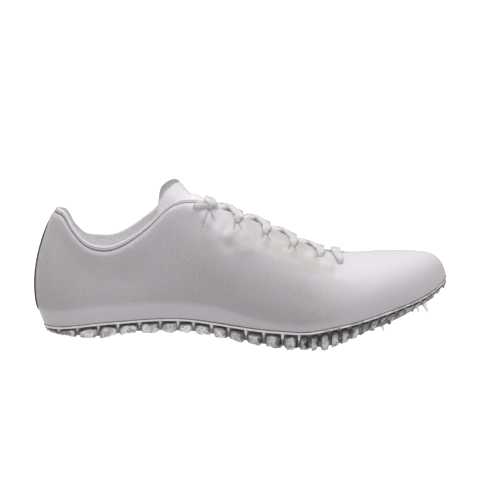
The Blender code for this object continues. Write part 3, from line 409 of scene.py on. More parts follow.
# Soft lamps. Each one: name, place, target, width and height, power in watts.
LAMPS = (
    ("overhead", (0.10, 0.10, 1.5), (0.10, 0.0, 0.05), (1.2, 0.9), 4.1),
    ("above_front", (0.05, -0.95, 1.5), (0.08, 0.0, 0.05), (1.4, 0.7), 4.0),
    ("toe_side", (1.25, -0.75, 0.45), (0.12, 0.0, 0.05), (0.7, 0.7), 1.5),
    ("heel_side", (-1.15, -0.75, 0.50), (0.04, 0.0, 0.05), (0.7, 0.7), 1.5),
)

# Camera, from the photograph
CAMERA_RISE = math.radians(5.5)
CAMERA_ROLL = math.radians(2.7)
CAMERA_DISTANCE = 2.0
VIEW_WIDTH = 0.32755  # across the picture at the shoe
VIEW_CENTRE = (0.10511, 0.06838)  # along the shoe and up the picture
SENSOR = 36.0


# Interpolation


def round_loop(lateral, medial):
    """One closed list of values round the shoe: lateral heel to toe, then medial back to the heel."""
    return np.array(list(lateral) + list(medial[-2:0:-1]), float)


def smooth(values, u):
    """A smooth closed curve through the values, with no overshoot between them."""
    u = np.asarray(u, float) % len(values)
    i = np.floor(u).astype(int) % len(values)
    t = u - np.floor(u)
    ahead = np.roll(values, -1) - values
    behind = np.roll(ahead, 1)
    limit = 3 * np.minimum(abs(ahead), abs(behind))
    slope = np.sign(ahead) * np.minimum(abs(ahead + behind) / 2, limit)
    slope = np.where(ahead * behind <= 0, 0.0, slope)
    j = (i + 1) % len(values)
    return (
        values[i] * (2 * t**3 - 3 * t**2 + 1)
        + slope[i] * (t**3 - 2 * t**2 + t)
        + values[j] * (3 * t**2 - 2 * t**3)
        + slope[j] * (t**3 - t**2)
    )


def column(table, columns, name):
    k = columns.index(name)
    return [row[k] for row in table]


def both_sides(values, u):
    """Values that hold for both sides alike, at section u."""
    return smooth(round_loop(values, values), u)


def bed(name, u):
    return both_sides(column(BED, BED_COLUMNS, name), u)


def top(name, u):
    return both_sides(column(TOP, TOP_COLUMNS, name), u)


def walls(name, u, medial=None):
    lateral = column(WALLS, WALL_COLUMNS, name)
    return smooth(round_loop(lateral, column(WALLS, WALL_COLUMNS, medial or name)), u)


def length_at(along):
    return LENGTH * (along - HEEL_REST_ALONG)


def side_of(u):
    """-1 on the lateral side, +1 on the medial side."""
    return np.where(np.asarray(u, float) % AROUND <= LAST_ROW, -1.0, 1.0)


def points(x, y, z):
    return np.stack(np.broadcast_arrays(x, y, z), axis=-1)


def bezier(a, b, c, d, t):
    return a * (1 - t) ** 3 + 3 * b * t * (1 - t) ** 2 + 3 * c * t**2 * (1 - t) + d * t**3


def unit(v):
    return v / np.linalg.norm(v, axis=-1, keepdims=True)


# The last: foot bed, top and the wall between


def heights(table, columns, sizes, u):
    """Height at section u, where each named column holds shares of its own size."""
    return both_sides(sum(size * np.array(column(table, columns, name)) for name, size in sizes.items()), u)


def bed_edge(u):
    """Edge of the foot bed at section u, where the upper meets the plate."""
    lateral = column(BED, BED_COLUMNS, "lateral")
    medial = column(BED, BED_COLUMNS, "medial")
    y = smooth(round_loop([-v for v in lateral], medial), u) * BALL_WIDTH
    z = SEAT_HEIGHT + heights(BED, BED_COLUMNS, {"arch": ARCH_RISE, "spring": TOE_SPRING}, u)
    return points(length_at(bed("along", u)), y, z)


def bed_normal(u):
    """Outward direction in plan at the edge of the foot bed."""
    step = 0.02
    along = bed_edge(np.asarray(u) + step) - bed_edge(np.asarray(u) - step)
    return unit(points(along[..., 1], -along[..., 0], 0.0))


@functools.cache
def bed_profile():
    """The foot bed from the side: distance along, section, height of the bed and of the tread."""
    u = np.linspace(0, LAST_ROW, 600)
    edge = bed_edge(u)
    tread = heights(BED, BED_COLUMNS, {"tread_arch": ARCH_RISE, "tread_spring": TOE_SPRING}, u)
    return edge[:, 0], u, edge[:, 2], np.maximum(tread, 0.0)


def row_at(x):
    along, u, _, _ = bed_profile()
    return float(np.interp(x, along, u))


def bed_height(x):
    along, _, height, _ = bed_profile()
    return np.interp(x, along, height)


def tread_height(x):
    along, _, _, tread = bed_profile()
    return float(np.interp(x, along, tread))


def inside_bed(u, inset, drop):
    """Points at a distance in from the bed's edge and below the bed."""
    ring = bed_edge(u) - bed_normal(u) * np.asarray(inset, float)[..., None]
    ring[..., 2] = bed_height(ring[..., 0]) - drop
    return ring


def throat_share(x):
    """How open the throat is at x: 1, and down to 0 over its round front end."""
    end = length_at(TOP[RIDGE_ROW][0])
    share = np.clip((x - (end - THROAT_END_RADIUS)) / THROAT_END_RADIUS, 0, 1)
    return np.sqrt(1 - share**2)


def top_edge(u):
    """Edge of the collar and throat, and then the ridge of the toe, where both sides meet."""
    u = np.asarray(u, float)
    x = length_at(top("along", u))
    half = top("half", u) * throat_share(x)
    half = np.where(np.minimum(u % AROUND, AROUND - u % AROUND) >= RIDGE_ROW, 0.0, half)
    y = BALL_WIDTH * (side_of(u) * half + top("shift", u))
    sizes = {"heel": HEEL_HEIGHT, "instep": INSTEP_HEIGHT, "toe": TOE_HEIGHT}
    medial = {**sizes, "lift": MEDIAL_LIFT}
    z = np.where(side_of(u) > 0, heights(TOP, TOP_COLUMNS, medial, u), heights(TOP, TOP_COLUMNS, sizes, u))
    return points(x, y, z + SEAT_HEIGHT)


def last_surface(u, v):
    """The outer form at section u, from the foot bed (v = 0) to the top (v = 1)."""
    low_end, high_end = bed_edge(u), top_edge(u)
    height = np.linalg.norm(high_end - low_end, axis=-1)[..., None]
    flare = np.radians(walls("flare_lateral", u, "flare_medial"))[..., None]
    lean = np.radians(walls("lean", u))[..., None]
    out = bed_normal(u)
    up = np.array([0.0, 0.0, 1.0])
    along_top = out + points(0.0, 0.0, out[..., 0] * top("pitch", u))
    low_pull = low_end + walls("low", u)[..., None] * height * (np.sin(flare) * out + np.cos(flare) * up)
    inward = np.sin(lean) * along_top - np.cos(lean) * up
    high_pull = high_end + walls("high", u)[..., None] * height * inward
    v = np.asarray(v, float)[..., None]
    return bezier(low_end, low_pull, high_pull, high_end, v)


def last_normal(u, v):
    step = 0.01
    v = np.asarray(v, float)
    low, high = np.clip(v - step, 0, 1), np.clip(v + step, 0, 1)
    inner = np.clip(v, 0, 1 - step)  # beside the ridge, where the side's own direction is not lost
    around = last_surface(u + step, inner) - last_surface(u - step, inner)
    upward = last_surface(u, high) - last_surface(u, low)
    return unit(np.cross(around, upward))


def below_edge(u, distance):
    """The v that lies that distance below the top edge."""
    u = np.asarray(u, float)
    height = np.linalg.norm(top_edge(u) - bed_edge(u), axis=-1)
    return 1 - distance / (3 * walls("high", u) * height)


def on_last(u, v, offset):
    """Points that lie that far outside the last's surface."""
    return last_surface(u, v) + last_normal(u, v) * np.asarray(offset, float)[..., None]


@functools.cache
def throat_profile():
    rows = np.linspace(THROAT_ROW - 2, LAST_ROW, 400)
    return top("along", rows), rows


def throat_section(along):
    """Lateral section number whose top lies at that share of the length."""
    alongs, rows = throat_profile()
    return float(np.interp(along, alongs, rows))


# Building helpers


def new_object(name, data):
    thing = bpy.data.objects.new(name, data)
    bpy.context.scene.collection.objects.link(thing)
    return thing


def new_piece(name, mesh, slot_name, materials, replaced=(), smooth=True):
    piece = new_object(name, mesh)
    for material in materials:
        mesh.materials.append(material)
    if smooth:
        mesh.shade_smooth()
    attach(piece, "root")
    if replaced:
        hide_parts(*replaced)
    return piece


def quads(rows, cols, close_rows=False, close_cols=False):
    """Faces between the neighbours in a grid of points."""
    i = np.arange(rows if close_rows else rows - 1)[:, None]
    j = np.arange(cols if close_cols else cols - 1)[None, :]
    k, m = (i + 1) % rows, (j + 1) % cols
    corners = np.broadcast_arrays(i * cols + j, k * cols + j, k * cols + m, i * cols + m)
    return np.stack(corners, axis=-1).reshape(-1, 4)


def grid_mesh(name, grid, close_rows=False, close_cols=False, flip=False, attributes=None):
    """A mesh over a grid of points. attributes: one value or vector per grid point."""
    faces = quads(*grid.shape[:2], close_rows, close_cols)
    if flip:
        faces = faces[:, ::-1]
    mesh = bpy.data.meshes.new(name)
    mesh.from_pydata(grid.reshape(-1, 3).tolist(), [], faces.tolist())
    add_attributes(mesh, attributes or {})
    return mesh


def add_attributes(mesh, attributes):
    for name, values in attributes.items():
        values = np.asarray(values, np.float32)
        vector = values.ndim > 1 and values.shape[-1] == 3 and values.size == 3 * len(mesh.vertices)
        layer = mesh.attributes.new(name, "FLOAT_VECTOR" if vector else "FLOAT", "POINT")
        layer.data.foreach_set("vector" if vector else "value", values.ravel())


def edited(mesh, change):
    """Runs a change on the mesh's editable copy and writes it back."""
    bm = bmesh.new()
    bm.from_mesh(mesh)
    bm.verts.ensure_lookup_table()
    change(bm)
    bm.to_mesh(mesh)
    bm.free()
    return mesh


def merge(bm):
    bmesh.ops.remove_doubles(bm, verts=bm.verts, dist=1e-6)


def face_outward(bm):
    bmesh.ops.recalc_face_normals(bm, faces=bm.faces)


def face_upward(mesh):
    if sum(face.normal.z for face in mesh.polygons) < 0:
        mesh.flip_normals()


def modifier(piece, kind, **settings):
    mod = piece.modifiers.new(kind.lower(), kind)
    for key, value in settings.items():
        setattr(mod, key, value)


def through(line, per_span):
    """A smooth line through points, or through rows of points."""
    line = np.asarray(line, float)
    ends = [2 * line[0] - line[1], *line, 2 * line[-1] - line[-2]]
    out = []
    for a, b, c, d in zip(ends, ends[1:], ends[2:], ends[3:]):
        for t in np.arange(per_span) / per_span:
            bend = (2 * a - 5 * b + 4 * c - d) * t**2 + (3 * b - a - 3 * c + d) * t**3
            out.append(0.5 * (2 * b + (c - a) * t + bend))
    out.append(line[-1])
    return np.array(out)


def distances_along(line):
    """How far along a line of points each of them lies."""
    steps = np.linalg.norm(np.diff(line, axis=0), axis=1)
    return np.concatenate(([0.0], np.cumsum(steps)))


def squared_circle(sides, power):
    """Angles round a circle whose corners are drawn out, and its two coordinates there."""
    turns = np.linspace(0, 2 * math.pi, sides, endpoint=False)
    wide, high = np.cos(turns), np.sin(turns)
    return turns, np.sign(wide) * abs(wide) ** power, np.sign(high) * abs(high) ** power


def on_side(u, lateral):
    """The section on the lateral side, or the one across from it."""
    return u if lateral else AROUND - u


def step_up(x, low, high):
    """0 below low, 1 above high, smooth between."""
    t = np.clip((x - low) / (high - low), 0, 1)
    return t * t * (3 - 2 * t)


def ahead_of(x, low, high):
    """0 behind one share of the length, 1 ahead of the other, smooth between."""
    return step_up(x, length_at(low), length_at(high))


def ripple(place, wavelength, seed, waves=7):
    """A smooth irregular field between about -1 and 1."""
    random = np.random.default_rng(seed)
    total = np.zeros(place.shape[:-1])
    for _ in range(waves):
        direction = unit(random.normal(size=3))
        length = wavelength * random.uniform(0.7, 1.5)
        total += np.sin(place @ direction * (2 * math.pi / length) + random.uniform(0, 2 * math.pi))
    return total / math.sqrt(2 * waves) * 1.2


# Materials


class Nodes:
    """Nodes of a tree, added by short calls."""

    def __init__(self, tree):
        self.tree = tree

    def node(self, kind, inputs=(), output=0, **settings):
        node = self.tree.nodes.new("ShaderNode" + kind)
        for key, value in settings.items():
            setattr(node, key, value)
        for key, value in dict(inputs).items():
            self.feed(node.inputs[key], value)
        return node.outputs[output]

    def feed(self, socket, value):
        if isinstance(value, bpy.types.NodeSocket):
            self.tree.links.new(value, socket)
        else:
            socket.default_value = value

    def math(self, operation, a, b=0.0, c=0.0):
        return self.node("Math", {0: a, 1: b, 2: c}, operation=operation)


class Graph(Nodes):
    """The nodes of a new material."""

    def __init__(self, name, color, roughness, metallic=0.0, **settings):
        self.material = bpy.data.materials.new(name)
        self.material.use_nodes = True
        super().__init__(self.material.node_tree)
        self.shader = self.tree.nodes["Principled BSDF"]
        settings |= {"Base Color": (*color[:3], 1), "Roughness": roughness, "Metallic": metallic}
        for key, value in settings.items():
            self.shader.inputs[key.replace("_", " ")].default_value = value

    def attribute(self, name, vector=False):
        return self.node("Attribute", attribute_name=name, output=1 if vector else 2)

    def place(self):
        return self.node("TexCoord", output=3)

    def noise(self, where, scale, detail=2.0, roughness=0.5):
        inputs = {"Vector": where, "Scale": scale, "Detail": detail, "Roughness": roughness}
        return self.node("TexNoise", inputs)

    def between(self, value, low, high, to_low=0.0, to_high=1.0):
        ends = {0: value, 1: low, 2: high, 3: to_low, 4: to_high}
        return self.node("MapRange", ends, interpolation_type="SMOOTHSTEP")

    def mix(self, share, a, b):
        return self.node("Mix", {0: share, 6: a, 7: b}, output=2, data_type="RGBA")

    def patches(self, scale, low, high, a, b):
        """Two colours in soft patches."""
        return self.mix(self.between(self.noise(self.place(), scale), low, high), a, b)

    def waves(self, where, direction, pitch):
        """Ridges across a direction, between -1 and 1."""
        turns = tuple(2 * math.pi * d / pitch for d in direction)
        along = self.node("VectorMath", {0: where, 1: turns}, output=1, operation="DOT_PRODUCT")
        return self.math("SINE", along)

    def knit(self, where, first, second):
        """Ridges across two directions, multiplied; each one is a direction and a pitch."""
        return self.math("MULTIPLY", self.waves(where, *first), self.waves(where, *second))

    def bump(self, height, distance):
        return self.node("Bump", {"Height": height, "Distance": distance, "Strength": 1.0})

    def glow(self, strength, color=GLOW_TINT):
        self.feed(self.shader.inputs["Emission Color"], color)
        self.shader.inputs["Emission Strength"].default_value = strength

    def finish(self, color=None, roughness=None, normal=None):
        for socket, value in (("Base Color", color), ("Roughness", roughness), ("Normal", normal)):
            if value is not None:
                self.tree.links.new(value, self.shader.inputs[socket])
        return self.material


WHITE = (0.800, 0.770, 0.800, 1)
WHITE_LOW = (0.380, 0.364, 0.380, 1)
WARM = (0.630, 0.603, 0.575, 1)
SEAM = (0.110, 0.102, 0.110, 1)
# painted shade in the troughs of the narrow folds
CREASE_SHADE = (0.330, 0.312, 0.330, 1)
# painted shade along the tongue's free end
TONGUE_EDGE_SHADE = (0.400, 0.385, 0.400, 1)
SPECK = (0.030, 0.028, 0.030, 1)
# DEEP for the sole's painted shade; PALE for the rim's painted highlight and the crystals' random pale
# flecks
DEEP = (0.060, 0.055, 0.060, 1)
PALE = (0.90, 0.88, 0.90, 1)
CLEAR = (0.95, 0.93, 0.95, 1)

# Weaves. Each one: direction and pitch of its ridges.
TWILL = ((0.50, 0.866, 0.0), 0.00155)
TWILL_DOTS = ((0.94, -0.34, 0.0), 0.00150)
LINING_KNIT = (((0.9, 0.0, 0.43), 0.0011), ((-0.43, 0.5, 0.9), 0.0016))
BINDING_RIBS = ((1.0, 0.35, 0.0), 0.0008)
CORD_WEAVE = (((0.70, 0.71, 0.0), 0.0010), ((0.70, -0.71, 0.0), 0.0010))
TONGUE_KNIT = (((1.0, 0.0, 0.0), 0.0013), ((0.0, 1.0, 0.0), 0.0013))
TAPE_RIBS = (((1.0, 0.0, 0.0), 0.0009), ((0.0, 1.0, 0.0), 0.0009))


def cloth_material():
    """White mesh in a fine twill of dots, with smooth film fused over it towards the edges."""
    g = Graph("upper_cloth", WHITE, 0.62, Sheen_Weight=0.10, Sheen_Roughness=0.5)
    cloth, mesh = g.attribute("cloth", vector=True), g.attribute("mesh")
    rows, dots = g.waves(cloth, *TWILL), g.waves(cloth, *TWILL_DOTS)
    weave = g.math("MULTIPLY_ADD", rows, 0.35, g.math("MULTIPLY", g.math("MULTIPLY", rows, dots), 0.65))
    weave = g.math("MULTIPLY", weave, mesh)
    height = g.math("MULTIPLY_ADD", g.noise(g.place(), 900.0), 0.25, weave)
    low = g.math("MULTIPLY", g.between(weave, -0.9, 0.5, 1.0, 0.0), mesh)
    color = g.mix(g.math("MULTIPLY", low, 0.85), WHITE, WHITE_LOW)
    tint = g.math("MULTIPLY", g.attribute("warm"), g.between(g.noise(g.place(), 60.0), 0.22, 0.55))
    color = g.mix(tint, color, WARM)
    # painted shade in the troughs of the narrow folds
    color = g.mix(g.between(g.attribute("painted_shade"), 0.15, 1.0, 0.0, 0.60), color, CREASE_SHADE)
    color = g.mix(g.between(g.attribute("seam"), 0.25, 0.65), color, SEAM)
    return g.finish(color, g.between(mesh, 0.0, 1.0, 0.50, 0.72), g.bump(height, 0.00017))


def lining_material(name="lining", glow=LINING_GLOW):
    g = Graph(name, (0.92, 0.90, 0.92), 0.85, Sheen_Weight=0.8, Sheen_Roughness=0.6)
    # painted glow: the lining shines a little by itself
    g.glow(glow)
    knit = g.knit(g.place(), *LINING_KNIT)
    color = g.patches(45.0, 0.3, 0.7, (0.89, 0.87, 0.89, 1), CLEAR)
    color = g.mix(g.between(knit, -1.0, 0.2, 0.20, 0.0), color, (0.60, 0.58, 0.60, 1))
    return g.finish(color, None, g.bump(knit, 0.0002))


def binding_material():
    g = Graph("binding", WHITE, 0.55, Sheen_Weight=0.45, Sheen_Roughness=0.5)
    # painted glow: the binding shines a little by itself
    g.glow(BINDING_GLOW)
    color = g.patches(120.0, 0.35, 0.65, (0.94, 0.92, 0.94, 1), (0.88, 0.86, 0.88, 1))
    ribs = g.waves(g.attribute("cloth", vector=True), *BINDING_RIBS)
    return g.finish(color, None, g.bump(ribs, 0.00008))


def lace_material():
    g = Graph("lace_cord", (0.92, 0.90, 0.92), 0.62, Sheen_Weight=0.55, Sheen_Roughness=0.5)
    cord = g.attribute("cloth", vector=True)
    weave = g.math("MAXIMUM", *(g.waves(cord, *ridges) for ridges in CORD_WEAVE))
    color = g.patches(140.0, 0.3, 0.7, (0.95, 0.93, 0.945, 1), (0.90, 0.88, 0.895, 1))
    color = g.mix(g.between(weave, -0.2, 0.6, 0.22, 0.0), color, (0.66, 0.64, 0.66, 1))
    return g.finish(color, None, g.bump(weave, 0.00012))


def tongue_material():
    """Smooth white cloth, with painted shade in a grey band along its free end."""
    g = Graph("tongue_cloth", (0.93, 0.90, 0.93), 0.60, Sheen_Weight=0.15, Sheen_Roughness=0.5)
    # painted glow: the tongue shines a little by itself
    g.glow(TONGUE_GLOW)
    color = g.patches(80.0, 0.3, 0.7, (0.95, 0.92, 0.95, 1), (0.91, 0.88, 0.91, 1))
    # painted shade band along the free end
    color = g.mix(g.attribute("painted_shade"), color, TONGUE_EDGE_SHADE)
    knit = g.knit(g.attribute("cloth", vector=True), *TONGUE_KNIT)
    return g.finish(color, None, g.bump(knit, 0.00010))


def tape_material():
    g = Graph("heel_tape", (0.035, 0.033, 0.038), 0.45)
    ribs = g.knit(g.attribute("cloth", vector=True), *TAPE_RIBS)
    color = g.mix(g.noise(g.place(), 300.0), (0.014, 0.013, 0.015, 1), (0.038, 0.035, 0.040, 1))
    return g.finish(color, None, g.bump(ribs, 0.0001))


def sole_material(name="sole_plastic", light=CLEAR, dark=(0.50, 0.48, 0.50, 1)):
    """Smoky moulded plastic, marbled and speckled, with painted shade in its gaps and recess and a painted
    highlight along the rim.
    """
    g = Graph(name, light, 0.25, Coat_Weight=0.35, Coat_Roughness=0.12)
    where = g.place()
    clouds = g.noise(where, 170.0, 3.0, 0.55)
    veins = g.noise(where, 95.0, 5.0, 0.7)
    color = g.mix(g.between(clouds, 0.40, 0.58), dark, light)
    color = g.mix(g.between(veins, 0.55, 0.66, 0.0, 0.55), color, (0.92, 0.90, 0.92, 1))
    specks = g.between(g.node("TexVoronoi", {"Vector": where, "Scale": 520.0}), 0.20, 0.34, 0.95, 0.0)
    sparse = g.between(g.noise(where, 130.0), 0.46, 0.56)
    color = g.mix(g.math("MULTIPLY", specks, sparse), color, SPECK)
    # deep: painted shade where positive; where negative, the rim's painted highlight and the crystals' pale
    # flecks
    deep = g.attribute("deep")
    color = g.mix(g.between(deep, 0.0, 1.0), color, DEEP)
    color = g.mix(g.between(deep, -1.0, 0.0, 1.0, 0.0), color, PALE)
    # painted glow in the sole's own colour
    g.glow(SOLE_GLOW, color)
    return g.finish(color, g.between(veins, 0.4, 0.7, 0.20, 0.42), g.bump(clouds, 0.0005))


def steel_material():
    g = Graph("pin_steel", (0.44, 0.44, 0.45), 0.28, 1.0)
    brushed = g.noise(g.place(), 1400.0)
    color = g.mix(brushed, (0.34, 0.34, 0.355, 1), (0.52, 0.52, 0.53, 1))
    return g.finish(color, g.between(brushed, 0.3, 0.7, 0.20, 0.40), g.bump(brushed, 0.00003))


def floor_material():
    g = Graph("floor_pale", (0.93, 0.93, 0.93), 0.9)
    g.glow(FLOOR_GLOW, (1, 1, 1, 1))
    return g.finish(g.mix(g.noise(g.place(), 3.0), (0.925, 0.925, 0.925, 1), (0.94, 0.94, 0.94, 1)))


# Upper


def stations(spacing, throat_spacing=None):
    """Section numbers at even distances, closer beside the throat, the same on both sides."""
    u = np.linspace(0, LAST_ROW, 3000)
    line = bed_edge(u) * (1 - SPACED_AT) + top_edge(u) * SPACED_AT
    steps = np.linalg.norm(np.diff(line, axis=0), axis=1)
    throat = step_up(u[1:], THROAT_ROW - 1.0, THROAT_ROW)
    throat = throat * step_up(-u[1:], -RIDGE_ROW - 1.0, -RIDGE_ROW)
    steps = steps / (spacing + ((throat_spacing or spacing) - spacing) * throat)
    length = np.concatenate(([0.0], np.cumsum(steps)))
    side = np.interp(np.linspace(0, length[-1], round(length[-1]) + 1), length, u)
    return np.concatenate([side, AROUND - side[-2:0:-1]])


def by_length(table, x):
    """Looks a distance up in a table of share of LENGTH and value."""
    along = x / LENGTH + HEEL_REST_ALONG
    return np.interp(along, *zip(*table))


def fold_field(x, down, narrow=False):
    """Depth of the folds, or of the narrow ones alone, at x and a distance below the top edge."""
    depth = np.zeros_like(x)
    for along_from, down_from, along_to, down_to, width, deep in FOLDS:
        if narrow and width > NARROW_FOLD:
            continue
        start = np.array([length_at(along_from), down_from])
        way = np.array([length_at(along_to), down_to]) - start
        share = ((x - start[0]) * way[0] + (down - start[1]) * way[1]) / (way @ way)
        inside = np.clip(share, 0, 1)
        away = np.hypot(x - start[0] - inside * way[0], down - start[1] - inside * way[1])
        taper = np.sin(np.pi * np.clip(0.18 + 0.80 * inside, 0, 1))
        depth += deep * taper * np.exp(-((away / width) ** 2))
    return depth


def upper_surface():
    """Places, outward directions and surface distances of the upper's outer face."""
    u = stations(STATION, THROAT_STATION)
    band = below_edge(u, EDGE_BAND)
    v = [share * band for share in np.linspace(0, 1, BODY_ROWS, endpoint=False)]
    v += [below_edge(u, EDGE_BAND * share) for share in np.linspace(1, 0, EDGE_ROWS)]
    v = np.stack(v, axis=1)
    rows = np.repeat(u[:, None], v.shape[1], axis=1)
    place = last_surface(rows, v)
    normal = last_normal(rows, v)
    mirror = (-np.arange(len(u))) % len(u)
    ridge = np.minimum(u, AROUND - u) >= RIDGE_ROW
    place[ridge, -1] = top_edge(u[ridge])
    normal[ridge, -1] = unit(normal[ridge, -1] + normal[mirror][ridge, -1])
    steps = np.linalg.norm(np.diff(place, axis=1), axis=-1)
    up = np.concatenate([np.zeros((len(u), 1)), np.cumsum(steps, axis=1)], axis=1)
    around = np.repeat(distances_along(place[:, v.shape[1] // 3])[:, None], v.shape[1], axis=1)
    return rows, place, normal, up, up[:, -1:] - up, around


def eased(place, u, down):
    """Evens the sections out along the shoe where the throat's end meets the toe's ridge."""
    away = (np.minimum(u, AROUND - u) - RIDGE_ROW) / EASE_REACH
    share = 0.5 * np.exp(-(away[:, None] ** 2)) * step_up(down, *EASE_DOWN)
    for _ in range(EASE_ROUNDS):
        beside = (np.roll(place, 1, axis=0) + np.roll(place, -1, axis=0)) / 2
        place = place + (beside - place) * share[..., None]
    return place


def build_upper(material, lining):
    rows, place, normal, up, down, around = upper_surface()
    place = eased(place, rows[:, 0], down)
    x = place[..., 0]
    heel_away = np.linalg.norm(place[..., :2] - place[:1, :, :2], axis=-1)
    film = np.maximum(by_length(FILM, x) - down, by_length(FILM_AT_SOLE, x) - up)
    film = np.maximum(film, np.where(x < length_at(FILM_HEEL_END), FILM_AT_HEEL - heel_away, -1.0))
    fused = step_up(film, -FILM_BLEND / 2, FILM_BLEND / 2)
    collar = step_up(top("roll", rows), 0.05, 0.6)

    spread = np.where(down < SWELL_DOWN, SWELL_ABOVE, SWELL_BELOW)
    swell = COLLAR_SWELL * collar * np.exp(-(((down - SWELL_DOWN) / spread) ** 2))
    inner = step_up(up, 0.002, 0.02) * step_up(down, 0.004, 0.014)
    lift = FUSED_STEP * fused - fold_field(x, down) + swell + SHELL_UNEVEN * ripple(place, 0.045, 3) * inner
    place = place + normal * lift[..., None]
    place[:, 0, 2] += GAP

    seam = collar * np.clip(1 - abs(down - SEAM_DOWN) / SEAM_HALF, 0, 1)
    seam_dark, *seam_fade = SEAM_AT_SOLE
    warm = ahead_of(x, *WARM_FROM) * (1 - ahead_of(x, *WARM_TO)) * (1 - step_up(down, *WARM_DOWN))
    attributes = {
        "cloth": points(around, up, 0.0),
        "mesh": (1 - fused) * (1 - ahead_of(x, *MESH_FADE)),
        "warm": warm,
        "seam": np.maximum(seam, seam_dark * (1 - step_up(up, *seam_fade))),
        # painted shade in the troughs of the narrow folds
        "painted_shade": np.clip(fold_field(x, down, narrow=True) / CREASE_DEPTH, 0, 1),
    }
    mesh = grid_mesh("upper_shell", place, close_rows=True, attributes=attributes)
    edited(mesh, merge)
    edited(mesh, open_eyelets)
    piece = new_piece("upper_shell", mesh, "upper_cloth", (material, lining), ("upper",))
    modifier(piece, "SOLIDIFY", thickness=WALL, offset=-1, use_even_offset=False, material_offset=1)


def eyelet_place(number, lateral, back_off=0.0):
    """Section and v of an eyelet's middle, or of a point above it by back_off, on the last."""
    along, inset = EYELETS[number]
    u = on_side(throat_section(along), lateral)
    return u, below_edge(u, inset * EYELET_INSET - back_off)


def open_eyelets(bm):
    """Punches the eyelets: takes the faces out and draws their edge to a circle."""
    places = [eyelet_place(n, lateral) for n in range(len(EYELETS)) for lateral in (True, False)]
    for centre in [Vector(last_surface(*place)) for place in places]:
        near = [f for f in bm.faces if (f.calc_center_median() - centre).length < EYELET_RADIUS]
        rim = {v for f in near for v in f.verts}
        bmesh.ops.delete(bm, geom=near, context="FACES")
        for vert in (v for v in rim if v.is_valid):
            vert.co = centre + (vert.co - centre).normalized() * EYELET_RADIUS


def build_binding(material):
    """The rolled edge of the collar, which thins out where the throat begins."""
    u = stations(STATION)
    u = u[top("roll", u) > 0.02]
    turn = np.argmax(np.diff(u))
    u = np.concatenate([u[turn + 1 :], u[: turn + 1]])
    share = np.sqrt(np.clip(top("roll", u), 0, 1))
    edge = top_edge(u)
    down = unit(last_surface(u, below_edge(u, ROLL_WIDTH)) - edge)
    out = last_normal(u, np.full(len(u), 0.999))
    out = unit(out - down * np.sum(out * down, axis=-1, keepdims=True))
    centre = edge + down * (ROLL_WIDTH * ROLL_CENTRE) - out * (WALL / 2)
    turns, wide, high = squared_circle(ROLL_SIDES, ROLL_SQUARE)
    wide = wide * (WALL / 2 + ROLL_STEP * share)[:, None]
    high = high * (ROLL_WIDTH * ROLL_HALF * share + ROLL_LEAST)[:, None]
    grid = centre[:, None] + out[:, None] * wide[..., None] - down[:, None] * high[..., None]
    cloth = points(distances_along(centre)[:, None], turns[None] * ROLL_ROUND, 0.0)
    mesh = grid_mesh("collar_binding", grid, close_cols=True, attributes={"cloth": cloth})
    cap_ends(mesh, ROLL_SIDES)
    new_piece("collar_binding", mesh, "upper_cloth", (material,))


def cap_ends(mesh, sides):
    """Closes both ends of a swept tube whose rings have that many sides."""

    def cap(bm):
        bm.faces.new(bm.verts[:sides])
        bm.faces.new(bm.verts[-sides:])
        face_outward(bm)

    edited(mesh, cap)


# Tongue, insole and heel tape


def tongue_section(u):
    """Points across the tongue's outer face at a throat section, from the lateral side to the medial."""
    clear = -(WALL + 2 * GAP + TONGUE_SINK * np.clip(u - (RIDGE_ROW - 1), 0, 1))
    distances = [TONGUE_UNDERLAP * share for share in (1.0, 0.55, 0.12)]
    sides = []
    for place in (u, AROUND - u):
        sides.append([on_last(place, below_edge(place, d), clear) for d in distances])
    left, right = sides
    chord = np.linalg.norm(right[-1] - left[-1])
    pull_left = left[-1] + unit(left[-1] - left[-2]) * chord * TONGUE_ARCH
    pull_right = right[-1] + unit(right[-1] - right[-2]) * chord * TONGUE_ARCH
    bridge = [bezier(left[-1], pull_left, pull_right, right[-1], k / 4) for k in (1, 2, 3)]
    return np.array(left + bridge + right[::-1])


def tongue_rows():
    """Every section of the tongue, from its root under the toe box to its free end."""
    front = throat_section(TOP[RIDGE_ROW][0]) + 0.35
    rows = [tongue_section(u) for u in np.linspace(front, THROAT_ROW + 0.1, 10)]
    corner = rows[-1]
    middle = corner[:, 1].mean()
    half = abs(corner[:, 1] - middle).max()
    for reach, rise, spread, ear in TONGUE_TOP:
        row = corner.copy()
        aside = (corner[:, 1] - middle) / half
        row[:, 0] -= TONGUE_REACH * reach
        row[:, 0] -= TONGUE_EAR * ear * np.minimum(abs(aside) / TONGUE_SHOULDER, 1) ** 1.5
        row[:, 1] = middle + (corner[:, 1] - middle) * spread
        row[:, 2] += TONGUE_RISE * rise + TONGUE_CORNER_LIFT * ear * (1 + aside) / 2
        row[:, 2] -= TONGUE_SIDE_DROP * ear * aside**6
        rows.append(row)
    return np.array(rows)


